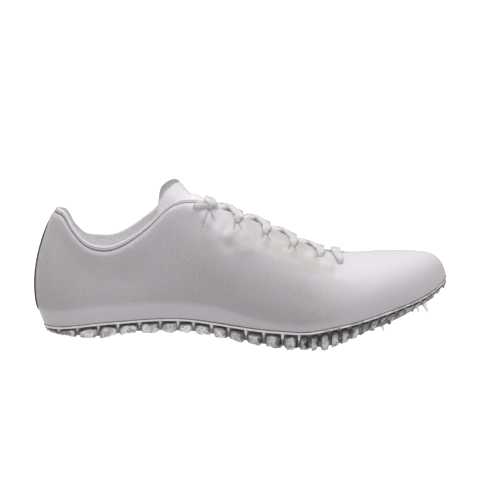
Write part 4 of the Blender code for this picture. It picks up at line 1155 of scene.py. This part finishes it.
def build_tongue(material, lining):
    rows = through(tongue_rows(), 5)
    grid = np.swapaxes(through(np.swapaxes(rows, 0, 1), 5), 0, 1)
    around = np.cumsum(np.linalg.norm(np.diff(grid, axis=0, prepend=grid[:1]), axis=-1), axis=0)
    across = np.cumsum(np.linalg.norm(np.diff(grid, axis=1, prepend=grid[:, :1]), axis=-1), axis=1)
    grid[..., 2] += TONGUE_UNEVEN * ripple(grid, 0.03, 11)
    # painted shade along the free end, which widens the shaded crescent of the inner face
    shade_band = step_up(around - around[-1:], -TONGUE_SHADE_BAND, -0.6 * TONGUE_SHADE_BAND)
    shade_band = shade_band * step_up(grid[..., 2], *TONGUE_SHADE_BAND_FROM)
    attributes = {"cloth": points(around, across, 0.0), "painted_shade": shade_band}
    mesh = grid_mesh("tongue_shell", grid, attributes=attributes)
    face_upward(mesh)
    piece = new_piece("tongue_shell", mesh, "upper_cloth", (material, lining), ("tongue",))
    modifier(piece, "SOLIDIFY", thickness=TONGUE_THICK, offset=-1, use_even_offset=True, material_offset=1)
    modifier(piece, "SUBSURF", levels=1, render_levels=1)


def build_sock(material):
    """The insole: a soft board whose edge turns up a little along the wall."""
    u = stations(SOCK_STATION)
    flare = np.radians(walls("flare_lateral", u, "flare_medial"))
    inset = (WALL + 2 * GAP) / np.cos(flare) + np.maximum(0, -np.tan(flare)) * INSOLE_THICK
    inset += 0.35 * INSOLE_THICK * (flare < 0)
    edge = inside_bed(u, inset, -(GAP + INSOLE_THICK))
    half = len(u) // 2
    share = 0.5 - 0.5 * np.cos(np.linspace(0, math.pi, SOCK_STRIPS + 1))
    a, b = edge[1:half], edge[:half:-1][: half - 1]
    grid = a[:, None] + (b - a)[:, None] * share[:, None]
    grid[..., 2] -= SOCK_SAG * np.sin(math.pi * share) ** 0.5
    mesh = grid_mesh("insole_sock", grid)
    face_upward(mesh)
    piece = new_piece("insole_sock", mesh, "lining", (material,), ("insole",))
    modifier(piece, "SOLIDIFY", thickness=SOCK_THICK, offset=-1)
    modifier(piece, "SUBSURF", levels=1, render_levels=1)


def build_tape(material):
    """The dark tape up the back seam, tapered at both ends."""
    width_of_row = np.linalg.norm(last_surface(0.5, 0.4) - last_surface(-0.5, 0.4))
    v = np.linspace(TAPE_FOOT, float(below_edge(0.0, TAPE_TOP * ROLL_WIDTH)), 60)
    taper = np.sqrt(np.clip(np.minimum(v - v[0], v[-1] - v) / TAPE_TAPER, 0.02, 1))
    across = np.linspace(-1, 1, 11)
    u = across[:, None] * (TAPE_WIDTH * TAPE_REACH / width_of_row * taper)[None, :]
    thick = GAP + TAPE_THICK * (0.7 + 0.4 * np.sqrt(np.clip(1 - across**4, 0, 1)))[:, None]
    grid = on_last(u, np.broadcast_to(v, u.shape), thick * (TAPE_THIN + (1 - TAPE_THIN) * taper))
    cloth = points(across[:, None] * TAPE_WIDTH / 2, v[None] * HEEL_HEIGHT, 0.0)
    mesh = grid_mesh("heel_strip", grid, attributes={"cloth": cloth})
    piece = new_piece("heel_strip", mesh, "heel_tape", (material,), ("heel_tape",))
    modifier(piece, "SOLIDIFY", thickness=TAPE_THICK, offset=-1)


# Lace


@functools.cache
def tongue_sections():
    u = np.linspace(THROAT_ROW + 0.1, RIDGE_ROW + 0.3, 24)
    return np.array([tongue_section(one) for one in u])


def tongue_height(x, y):
    """Height of the tongue's outer face at a place in plan."""
    sections = tongue_sections()
    heights_at_y = [np.interp(y, section[:, 1], section[:, 2]) for section in sections]
    return float(np.interp(x, sections[:, 4, 0], heights_at_y))


FULL = (1.10, LACE_PUFF)
AT_EDGE = (1.25, LACE_PUFF * 1.05)
OUT_OF_EYELET = (0.88, 1.25)


def knot(place, facing, size=FULL):
    """One point of the lace: its place, where its flat side faces, and its width and thickness."""
    return np.concatenate([place, facing, size])


def on_upper(u, v, lift, size):
    offset = LACE_THICK * LACE_PUFF / 2 - LACE_PRESS + float(top("roll", u)) * ROLL_STEP + lift
    return knot(on_last(u, v, offset), last_normal(u, v), size)


def under_upper(u, v):
    return knot(on_last(u, v, -WALL - LACE_THICK * LACE_HIDDEN[1] / 2), last_normal(u, v), LACE_HIDDEN)


def on_tongue(place, lift=0.0):
    u = throat_section(place[0] / LENGTH + HEEL_REST_ALONG)
    slope = unit(top_edge(u + 0.2) - top_edge(u - 0.2))
    height = tongue_height(place[0], place[1]) + LACE_THICK * LACE_PUFF / 2 + lift
    return knot(np.array([place[0], place[1], height]), np.array([-slope[2], 0.0, slope[0]]))


def turned(point, sign):
    """The same point with its flat side turned over."""
    point = point.copy()
    point[3:6] *= sign
    return point


def way_out(number, lateral, sign):
    """Up through an eyelet from inside: under the row, in the hole, out on the upper."""
    u, v = eyelet_place(number, lateral)
    above = eyelet_place(number, lateral, EYELET_RADIUS + GAP)
    below = unit(last_surface(u, v) - last_surface(u, v + 0.02))
    hole = knot(on_last(u, v, -WALL / 2), below, LACE_BUNCH)
    inside = turned(under_upper(*above), -1)
    outside = on_upper(*above, 0.0, OUT_OF_EYELET)
    return [turned(p, sign) for p in (inside, hole, outside)]


def over_edge(number, lateral, sign):
    u, _ = eyelet_place(number, lateral)
    return turned(on_upper(u, below_edge(u, LACE_TURN), 0.0, AT_EDGE), sign)


def leg(number, lateral, sign):
    """One crossing: out of an eyelet, over the tongue and under the far edge of the throat."""
    inward = 1.0 if lateral else -1.0
    edge = over_edge(number, lateral, sign)
    rim_u = throat_section(EYELETS[number + 1][0] + (LACE_WIDTH + LACE_CLEARANCE) / LENGTH)
    far_u = on_side(rim_u, not lateral)
    dive = on_tongue(top_edge(far_u) - np.array([0.0, inward * LACE_WIDTH * 0.6, 0.0]))
    middle = on_tongue((edge[:3] + dive[:3]) / 2, LACE_THICK * (0.85 if lateral else 0.0))
    below = under_upper(far_u, below_edge(far_u, LACE_WIDTH / 2))
    return [*way_out(number, lateral, sign), edge, *(turned(p, sign) for p in (middle, dive, below))]


def side_of_lace(lateral):
    """The lace from the eyelet above the front bar up to the top eyelet, crossing at each."""
    line, sign, on_lateral = [], 1.0, lateral
    for number in range(1, len(EYELETS) - 1):
        line += leg(number, on_lateral, sign)
        sign, on_lateral = -sign, not on_lateral
    return line, sign, on_lateral


def pair_middle(lateral, medial):
    """The point over the tongue between the ends of two lines."""
    middle = on_tongue((lateral[-1][:3] + medial[-1][:3]) / 2)
    middle[2] = max(middle[2], (lateral[-1][2] + medial[-1][2]) / 2)
    return middle


def up_and_over(number, lateral, sign):
    return [*way_out(number, lateral, sign), over_edge(number, lateral, sign)]


def front_bar():
    """The straight bar over the front pair of eyelets, with both ends going in."""
    lateral, medial = up_and_over(0, True, 1.0), up_and_over(0, False, 1.0)
    return lateral + [pair_middle(lateral, medial)] + medial[::-1]


def sweep(points_of_line):
    """Rings of a flat oval strand along the line, and its pattern coordinates."""
    line = through(points_of_line, LACE_PER_SPAN)
    middle, facing, size = line[:, :3], line[:, 3:6], line[:, 6:]
    ahead = unit(np.gradient(middle, axis=0))
    side = unit(np.cross(facing, ahead))
    above = np.cross(ahead, side)
    _, wide, high = squared_circle(LACE_SIDES, LACE_SQUARE)
    wide, high = wide * LACE_WIDTH / 2, high * LACE_THICK / 2
    across = side[:, None] * (wide * size[:, :1])[..., None]
    upward = above[:, None] * (high * size[:, 1:])[..., None]
    cloth = points(distances_along(middle)[:, None], wide[None], 0.0)
    return middle[:, None] + (across + upward), cloth


def short_end(sign):
    """The short end at the top eyelet, which hangs towards the heel."""
    start = last_surface(*eyelet_place(len(EYELETS) - 1, True, -EYELET_RADIUS))[0]
    line = []
    for back, drop in LACE_END_LINE:
        u = throat_section((start - LACE_END * STUB_LENGTH * back) / LENGTH + HEEL_REST_ALONG)
        v = below_edge(u, LACE_END_DROP * (1 + STUB_HANG * drop))
        size = np.array(STUB) * (STUB_SWELL[0] + STUB_SWELL[1] * back)
        line.append(turned(on_upper(u, v, ROLL_STEP, size), sign))
    full = line[-1]
    step = unit(full[:3] - line[-2][:3]) * LACE_WIDTH * STUB[0] / 2
    for ahead, share in STUB_TIP:
        line.append(knot(full[:3] + step * ahead, full[3:6], full[6:] * share))
    return line


def build_lace(material):
    last = len(EYELETS) - 1
    side_a, sign_a, a_lateral = side_of_lace(True)
    side_b, sign_b, b_lateral = side_of_lace(False)
    top_a, top_b = up_and_over(last, a_lateral, sign_a), up_and_over(last, b_lateral, sign_b)
    for end in (top_a, top_b):
        end[-1][6] *= TOP_SPREAD
    middle = turned(pair_middle(top_a, top_b), sign_b)
    # The inner end crosses over and turns round the outer one into the short end.
    if b_lateral:
        side_a, side_b, top_a, top_b, sign_a, sign_b = side_b, side_a, top_b, top_a, sign_b, sign_a
    crossed = turned(top_a[-1], sign_b * sign_a)
    crossed[2] += TOP_CROSS_LIFT
    run = top_a[::-1] + side_a[::-1] + front_bar() + side_b + top_b
    grid, cloth = sweep(run + [middle, crossed] + short_end(sign_b))
    mesh = grid_mesh("lace_cord", grid, close_cols=True, attributes={"cloth": cloth})
    cap_ends(mesh, LACE_SIDES)
    nodes = ["lace_bar", "lace_top"] + [f"lace_cross_{n}" for n in range(1, last)]
    new_piece("lace_cord", mesh, "lace_cord", (material,), nodes)


# Outsole


def edge_lengths():
    """Sections round one side with the distance from the heel at each, at the plate's edge."""
    u = np.linspace(0, LAST_ROW, 800)
    return u, distances_along(bed_edge(u))


def lug_spans():
    """Section ranges of the lugs and teeth along one side, and the middles of the gaps between them."""
    u, distance = edge_lengths()
    rear = np.interp([length_at(along) for along in LUG_BREAKS], bed_edge(u)[:, 0], distance)
    front = np.linspace(rear[-1], distance[-1], EDGE_TEETH + 1)[1:-1]
    ends = [0.0, *rear, *front, distance[-1]]
    gap = LUG_GAP / 2
    lugs = [np.interp((start + gap, end - gap), distance, u) for start, end in zip(ends, ends[1:])]
    return lugs, np.interp(ends[1:-1], distance, u)


def bed_point(along, across, drop):
    """A point under the foot bed; across is a share of BALL_WIDTH."""
    x = length_at(along)
    return np.array([x, across * BALL_WIDTH, float(bed_height(x)) - drop])


def bed_down(along):
    """The direction straight down from the plate at that share of the length."""
    step = 0.02
    slope = bed_point(along + step, 0, 0) - bed_point(along - step, 0, 0)
    return unit(np.array([slope[2], 0, -slope[0]]))


def lug_corners(start, end, lateral):
    """Eight corners of a lug, four under the plate and four at its foot, as the solid has them."""
    sharp = float(np.clip((start - (RIDGE_ROW - 1.2)) / 2.0, 0, 1))
    trim = (end - start) * (0.05 + 0.28 * sharp)
    outer = LUG_DRAFT * (1 + 1.2 * sharp)
    across = abs(float(bed_edge(end)[1] - bed_edge(AROUND - end)[1]))
    reach = min(LUG_REACH, 0.30 * across + LUG_REACH_AT_TIP)
    inner = reach - LUG_DRAFT * (1 + 2.0 * sharp)
    base = [(start, -PLATE_OVERHANG / 2), (end, -PLATE_OVERHANG / 2), (end, reach), (start, reach)]
    foot = [(start + trim, outer), (end - trim, outer), (end - trim, inner), (start + trim, inner)]
    corners = [inside_bed(on_side(u, lateral), inset, PLATE_THICK - FUSE) for u, inset in base]
    corners += [inside_bed(on_side(u, lateral), inset, 0.0) for u, inset in foot]
    for corner in corners[4:]:
        corner[2] = tread_height(corner[0])
    return np.array(corners), sharp


@functools.cache
def rounded_cube(cuts, power):
    """Points and faces of a cube with rounded edges, each coordinate from -1 to 1."""
    bm = bmesh.new()
    bmesh.ops.create_cube(bm, size=2.0)
    bmesh.ops.subdivide_edges(bm, edges=bm.edges, cuts=cuts, use_grid_fill=True)
    place = np.array([v.co for v in bm.verts])
    faces = [[v.index for v in f.verts] for f in bm.faces]
    bm.free()
    reach = np.sum(abs(place) ** power, axis=-1, keepdims=True) ** (1 / power)
    return place / reach, faces


def fill_corners(corners, place):
    """Maps points of the cube (-1 to 1) into eight corners: ring x, y at z = -1, then at z = 1."""
    x, y, z = (place[:, k : k + 1] / 2 + 0.5 for k in range(3))

    def ring(a, b, c, d):
        return (a * (1 - x) + b * x) * (1 - y) + (d * (1 - x) + c * x) * y

    return ring(*corners[:4]) * (1 - z) + ring(*corners[4:]) * z


class Heap:
    """Many closed bodies in one mesh of the sole."""

    def __init__(self):
        self.verts, self.faces, self.deep = [], [], []
        self.count = 0

    def add(self, verts, faces, deep):
        self.verts.append(verts)
        self.faces += [[i + self.count for i in face] for face in faces]
        self.deep.append(np.broadcast_to(deep, len(verts)))
        self.count += len(verts)

    def mesh(self, name):
        mesh = bpy.data.meshes.new(name)
        mesh.from_pydata(np.concatenate(self.verts).tolist(), [], self.faces)
        add_attributes(mesh, {"deep": np.concatenate(self.deep)})
        return edited(mesh, face_outward)

    def piece(self, name, material, **settings):
        new_piece(name, self.mesh(name), "sole_plastic", (material,), **settings)


def build_lugs(material, sharp_material):
    """The moulded lugs round the sole: soft blocks behind the ball, sharp crystals ahead of it."""
    random = np.random.default_rng(5)
    blocks, crystals = Heap(), Heap()
    lugs, _ = lug_spans()
    for lateral in (True, False):
        for number, (start, end) in enumerate(lugs):
            corners, sharp = lug_corners(start, end, lateral)
            if sharp < SHARP_FROM:
                add_block(blocks, corners, 100 + number + 50 * lateral)
            else:
                add_crystal(crystals, corners, sharp, random)
    blocks.piece("sole_lugs", material)
    crystals.piece("sole_crystals", sharp_material, smooth=False)


def above_tread(body):
    """The same points, none of them below the tread."""
    body[:, 2] = np.maximum(body[:, 2], [tread_height(x) for x in body[:, 0]])
    return body


def add_block(heap, corners, seed):
    """A lug with a dished outer face and a worn foot, with painted shade towards its gaps and the plate."""
    cube, faces = rounded_cube(LUG_CUTS, LUG_ROUND)
    body = fill_corners(corners, cube)
    shake = np.stack([ripple(body, 0.006, seed + k * 7) for k in range(3)], axis=-1)
    body = body + shake * LUG_ROUGH * step_up(cube[:, 2], -0.8, 0.2)[:, None]
    dish = np.clip(1 - (cube[:, 0] ** 2 + cube[:, 2] ** 2) * 1.6, 0, 1) * (cube[:, 1] < -0.5)
    body = above_tread(body + unit(corners[3] - corners[0]) * (dish * LUG_DISH)[:, None])
    worn = np.clip(ripple(body, 0.004, seed + 31), 0, 1) * step_up(cube[:, 2], 0.4, 0.9)
    body[:, 2] += LUG_WORN * worn
    # painted shade towards the gaps and up under the plate; darker too under the ball and at the heel's
    # back
    sides = step_up(abs(cube[:, 0]) - 0.25 * shake[:, 0], 0.55, 1.05)
    above = step_up(-cube[:, 2] - 0.2 * shake[:, 1], 0.35, 0.95)
    dark = BALL_DARK[0] * ahead_of(body[:, 0], *BALL_DARK[1:])
    dark += HEEL_DARK[0] * (1 - ahead_of(body[:, 0], *HEEL_DARK[1:]))
    heap.add(body, faces, np.clip(LUG_SHADE[0] * sides + LUG_SHADE[1] * above + dark, 0, 0.92))


def add_crystal(heap, corners, sharp, random):
    """A tooth of flat facets with a jagged foot."""
    cube, faces = rounded_cube(1, 30.0)
    peak = corners[4:].mean(axis=0) + (corners[5] - corners[4]) * random.uniform(-0.5, 0.5)
    corners[4:] += (peak - corners[4:]) * sharp * random.uniform(0.30, 0.75, (4, 1)) * [1, 1, 0]
    corners[4:, 2] += sharp * random.uniform(0, CRYSTAL_UNEVEN, 4)
    body = fill_corners(corners, cube)
    low = step_up(cube[:, 2], -0.9, 0.1)[:, None]
    body = above_tread(body + random.uniform(-1, 1, body.shape) * CRYSTAL_ROUGH * low)
    # painted shade up under the plate; random dark and pale flecks low down
    above = 0.85 * step_up(-cube[:, 2], 0.2, 1.0)
    deep = above + random.uniform(-0.30, 0.90, len(body)) * low[:, 0]
    heap.add(body, faces, np.clip(deep, -0.3, 0.95))


def build_webs(material):
    """The walls behind the lugs, on both sides."""
    heap = Heap()
    u = np.linspace(*WEB_ENDS, 240)
    for lateral in (True, False):
        rings = []
        for inset, share in WEB_SECTION:
            inward = np.full(len(u), WEB_INSET + WEB_THICK * inset)
            wall = inside_bed(on_side(u, lateral), inward, PLATE_THICK - FUSE)
            depth = wall[:, 2] - [tread_height(x) for x in wall[:, 0]]
            wall[:, 2] -= share * WEB_DEPTH * depth * (1 - 0.05 * ripple(wall, 0.02, 23))
            rings.append(wall)
        # painted shade: the walls stand back behind the lugs
        heap.add(*tube(np.stack(rings, axis=1)), 0.72)
    heap.piece("sole_webs", material)


def tube(rings):
    """Points and faces of a closed bar through rings of points."""
    rows, cols = rings.shape[:2]
    caps = [list(range(cols)), list(range((rows - 1) * cols, rows * cols))]
    return rings.reshape(-1, 3), quads(rows, cols, close_cols=True).tolist() + caps


def build_fins(material):
    """Thin buttresses in the gaps, with pale tips at the rim that carry its painted highlight, and painted
    shade lower down.
    """
    cube, faces = rounded_cube(4, 8.0)
    heap = Heap()
    u_line, distance = edge_lengths()
    _, gaps = lug_spans()
    for lateral in (True, False):
        for middle in gaps[: len(LUG_BREAKS)]:
            centre = float(np.interp(middle, u_line, distance))
            ends = np.interp((centre - FIN_WIDTH / 2, centre + FIN_WIDTH / 2), distance, u_line)
            depth = float(bed_edge(middle)[2]) - tread_height(bed_edge(middle)[0])
            foot_drop = max(0.62 * depth, PLATE_THICK + FUSE)
            corners = []
            for drop, outer, spread in ((PLATE_RIM / 2, 0.0, FIN_TIP), (foot_drop, FIN_INSET, 1.0)):
                rear, front = middle + (ends - middle) * spread
                ring = ((rear, outer), (front, outer), (front, FIN_REACH), (rear, FIN_REACH))
                corners += [inside_bed(on_side(u, lateral), inset, drop) for u, inset in ring]
            body = fill_corners(np.array(corners), cube)
            # painted highlight at the rim, painted shade lower in the gaps
            heap.add(body, faces, 0.95 * step_up(cube[:, 2], -0.6, 0.6) - 0.35)
    heap.piece("sole_fins", material)


def build_plate(material):
    """The plate: a rim with a painted highlight, a recess under it with painted shade, and the underside
    from edge to edge.
    """
    u = stations(PLATE_STATION)
    count, width = len(u), len(PLATE_PROFILE)
    rings = [inside_bed(u, np.full(count, inset), drop) for inset, drop, _ in PLATE_PROFILE]
    rings = np.stack(rings, axis=1)
    deep = np.broadcast_to([d for _, _, d in PLATE_PROFILE], rings.shape[:2])
    highlight_dim = 1 - RIM_HIGHLIGHT_DIM[0] * ahead_of(rings[..., 0], *RIM_HIGHLIGHT_DIM[1:])
    deep = np.where(deep < 0, deep * highlight_dim, deep)
    mesh = grid_mesh("sole_plate", rings, close_rows=True, flip=True, attributes={"deep": deep})

    def close(bm):
        layer = bm.verts.layers.float["deep"]
        # the faces across the top and the underside get painted shade
        for offset, level in ((0, 0.6), (width - 1, 0.55)):
            bm.verts.ensure_lookup_table()
            rim = [bm.verts[i * width + offset] for i in range(count)]
            rows = [crossing(bm, rim[i], rim[-i], layer, level) for i in range(1, count // 2)]
            for first, second in zip(rows, rows[1:]):
                for k in range(PLATE_STRIPS):
                    bm.faces.new((first[k], second[k], second[k + 1], first[k + 1]))
            for end, row in ((rim[0], rows[0]), (rim[count // 2], rows[-1])):
                for k in range(PLATE_STRIPS):
                    bm.faces.new((end, row[k], row[k + 1]))
        face_outward(bm)

    edited(mesh, close)
    new_piece("sole_plate", mesh, "sole_plastic", (material,), ("outsole",))


def crossing(bm, a, b, layer, level):
    """A row of vertices from one to another, the new ones with that value in the layer."""
    row = [a]
    for k in range(1, PLATE_STRIPS):
        vert = bm.verts.new(a.co.lerp(b.co, k / PLATE_STRIPS))
        vert[layer] = level
        row.append(vert)
    return row + [b]


def tooth_places():
    """Rows of teeth across the forefoot, clear of the pins, the lugs and the rest pad."""
    places = []
    first, last = (length_at(along) for along in TEETH_ENDS)
    for row in range(int((last - first) / TOOTH_PITCH) + 1):
        x = first + row * TOOTH_PITCH
        along = x / LENGTH + HEEL_REST_ALONG
        u = row_at(x)
        low = float(bed_edge(u)[1]) + LUG_REACH + TOOTH_BASE * 0.75
        high = float(bed_edge(AROUND - u)[1]) - LUG_REACH - TOOTH_BASE * 0.75
        count = max(int((high - low) / TOOTH_PITCH) + 1, 1)
        for k in range(count):
            y = (low + high) / 2 + (k - (count - 1) / 2) * TOOTH_PITCH
            nearest = min(math.hypot(x - length_at(a), y - c * BALL_WIDTH) for a, c in PINS)
            if nearest > SEAT_RADIUS + TOOTH_BASE * 0.7:
                places.append((along, y / BALL_WIDTH))
    return places


def build_teeth(material):
    """Teeth, rest pads and shank ribs under the plate."""
    heap = Heap()
    cube, faces = rounded_cube(5, 7.0)
    share = (cube[:, 2:] + 1) / 2
    half = TOOTH_BASE / 2
    girth = half * ((1 - share) ** 1.5 * 0.84 + 0.16)
    for along, across in tooth_places():
        down = bed_down(along)
        forward = np.array([-down[2], 0, down[0]])
        base = bed_point(along, across, PLATE_THICK - FUSE)
        height = max(0.78 * (base[2] - tread_height(base[0])), TOOTH_LEAST_HEIGHT)
        body = base + down * share * height + forward * (cube[:, :1] * girth + 0.25 * half * share)
        body[:, 1:2] += cube[:, 1:2] * girth
        # painted shade, darkest where the teeth meet the plate
        heap.add(body, faces, 0.5 * (1 - share[:, 0]))
    for along in (HEEL_REST_ALONG, BALL_REST_ALONG):
        x = length_at(along)
        corners = []
        for grow, z in ((LUG_DRAFT, bed_point(along, 0, PLATE_THICK - FUSE)[2]), (0.0, 0.0)):
            half_x, half_y = REST_LENGTH / 2 + grow, REST_WIDTH / 2 + grow
            ring = ((-1, -1), (1, -1), (1, 1), (-1, 1))
            corners += [(x + sx * half_x, sy * half_y, z) for sx, sy in ring]
        heap.add(fill_corners(np.array(corners), cube), faces, 0.4)
    for heel, ball in SHANK_RIBS:
        heap.add(*tube(shank_rings(heel, ball)), 0.35)
    heap.piece("sole_teeth", material)


def shank_rings(heel, ball):
    """Half-round rings of a shank rib, which is low at both ends."""
    rings = []
    turns = np.linspace(0, math.pi, 9)[:, None]
    for share in np.linspace(0, 1, 40):
        along = SHANK_ENDS[0] + (SHANK_ENDS[1] - SHANK_ENDS[0]) * share
        inner = min(max(share, 0.04), 0.96)
        depth = FUSE + SHANK_RIB_DEPTH * (0.35 + 0.65 * math.sin(math.pi * inner))
        base = bed_point(along, heel + (ball - heel) * share, PLATE_THICK - FUSE)
        across = np.array([0, 1, 0]) * np.cos(turns) * SHANK_RIB_WIDTH / 2
        rings.append(base + across - np.array([0, 0, 1]) * np.sin(turns) ** 0.6 * depth)
    return np.array(rings)


def lathe(profile, base, down, sides=32):
    """Points and faces of a body turned about the line down from base."""
    radius, drop = np.array(profile).T[..., None, None]
    side = np.array([0.0, 1.0, 0.0])
    turns = np.linspace(0, 2 * math.pi, sides, endpoint=False)[:, None]
    ring = np.cos(turns) * np.cross(side, down) + np.sin(turns) * side
    return tube(base + down * drop + ring * radius)


def build_seats(material):
    heap = Heap()
    depth = SEAT_DEPTH + FUSE
    section = ((1.0, 0.0), (0.97, 0.5), (0.90, 0.92), (0.84, 1.0), (0.2, 1.0))
    profile = [(SEAT_RADIUS * wide, depth * low) for wide, low in section]
    for along, across in PINS:
        base = bed_point(along, across, PLATE_THICK - FUSE)
        heap.add(*lathe(profile, base, bed_down(along)), 0.25)
    heap.piece("sole_seats", material)


def build_pins(material):
    """A flange and a stepped cone at each place."""
    r, flange = PIN_RADIUS, PIN_FLANGE_RADIUS
    head = [(flange * wide, PIN_FLANGE * low) for wide, low in ((0.2, 0), (0.94, 0), (1, 0.15), (1, 0.8))]
    head += [(flange * 0.93, PIN_FLANGE), (r * 1.12, PIN_FLANGE), (r, PIN_FLANGE + GAP)]
    cone = ((0.80, 0.30), (0.76, 0.32), (0.28, 0.97), (0.12, 1.0))
    for number, (along, across) in enumerate(PINS, start=1):
        down = bed_down(along)
        seat = bed_point(along, across, PLATE_THICK) + down * (SEAT_DEPTH + GAP)
        reach = min(PIN_LENGTH, (seat[2] - GAP) / -down[2] - PIN_FLANGE)
        profile = head + [(r * wide, PIN_FLANGE + reach * low) for wide, low in cone]
        heap = Heap()
        heap.add(*lathe(profile, seat, down), 0.0)
        mesh = heap.mesh(f"steel_pin_{number}")
        new_piece(f"steel_pin_{number}", mesh, "pin_steel", (material,), (f"pin_{number}",))
        mesh.set_sharp_from_angle(angle=math.radians(35))


# Stage


def build_stage():
    line = np.linspace(-FLOOR_REACH, FLOOR_REACH, 8)
    mesh = grid_mesh("floor", points(line[:, None], line[None, :], 0.0))
    mesh.materials.append(floor_material())
    face_upward(mesh)
    floor = new_object("floor", mesh)
    floor.visible_diffuse = False  # the dome's lower half stands in for its even light


def add_light(name, place, target, size, power):
    light = bpy.data.lights.new(name, "AREA")
    light.shape = "RECTANGLE"
    light.size, light.size_y = size
    light.energy = power
    turn = (Vector(target) - Vector(place)).to_track_quat("-Z", "Y").to_matrix().to_4x4()
    new_object(name, light).matrix_world = Matrix.Translation(place) @ turn


def build_lights():
    """A soft white dome, brightest overhead, and four large soft lamps."""
    world = bpy.data.worlds.new("studio")
    bpy.context.scene.world = world
    world.use_nodes = True
    sky = Nodes(world.node_tree)
    height = sky.node("SeparateXYZ", {0: sky.node("TexCoord")}, output=2)
    zenith = sky.math("POWER", sky.math("MAXIMUM", height, 0.0), DOME_FOCUS)
    above = sky.math("MULTIPLY_ADD", zenith, DOME_ZENITH, DOME_HORIZON)
    below = sky.math("LESS_THAN", height, 0.0)
    background = sky.tree.nodes["Background"]
    background.inputs["Color"].default_value = DOME_COLOR
    light = sky.math("MULTIPLY_ADD", below, DOME_BELOW - DOME_HORIZON, above)
    sky.feed(background.inputs["Strength"], light)
    for lamp in LAMPS:
        add_light(*lamp)


def place_camera():
    """The photograph's angle: from the outer side, a little above, with the camera rolled."""
    rise, roll = CAMERA_RISE, CAMERA_ROLL
    level = np.array([1.0, 0.0, 0.0])
    upright = np.array([0.0, math.sin(rise), math.cos(rise)])
    ahead = np.array([0.0, math.cos(rise), -math.sin(rise)])
    right = math.cos(roll) * level + math.sin(roll) * upright
    up = -math.sin(roll) * level + math.cos(roll) * upright
    place = level * VIEW_CENTRE[0] + upright * VIEW_CENTRE[1] - ahead * CAMERA_DISTANCE
    data = bpy.data.cameras.new("photo_camera")
    data.sensor_width = SENSOR
    data.lens = SENSOR * CAMERA_DISTANCE / VIEW_WIDTH
    data.clip_start, data.clip_end = 0.01, 100.0
    camera = new_object("photo_camera", data)
    matrix = np.eye(4)
    matrix[:3] = np.stack([right, up, -ahead, place], axis=1)
    camera.matrix_world = Matrix(matrix.tolist())
    bpy.context.scene.camera = camera


def main():
    place_camera()
    build_stage()
    build_lights()
    bpy.context.scene.view_settings.view_transform = "Standard"

    cloth, lining = cloth_material(), lining_material()
    sole = sole_material()
    build_upper(cloth, lining)
    build_binding(binding_material())
    build_tongue(tongue_material(), lining_material("tongue_lining", 0.0))
    build_sock(lining)
    build_tape(tape_material())
    build_lace(lace_material())
    build_plate(sole)
    crystal = sole_material("sole_crystal", light=(0.86, 0.84, 0.86, 1), dark=(0.22, 0.21, 0.22, 1))
    build_lugs(sole, crystal)
    build_webs(sole)
    build_fins(sole)
    build_teeth(sole)
    build_seats(sole)
    build_pins(steel_material())


main()
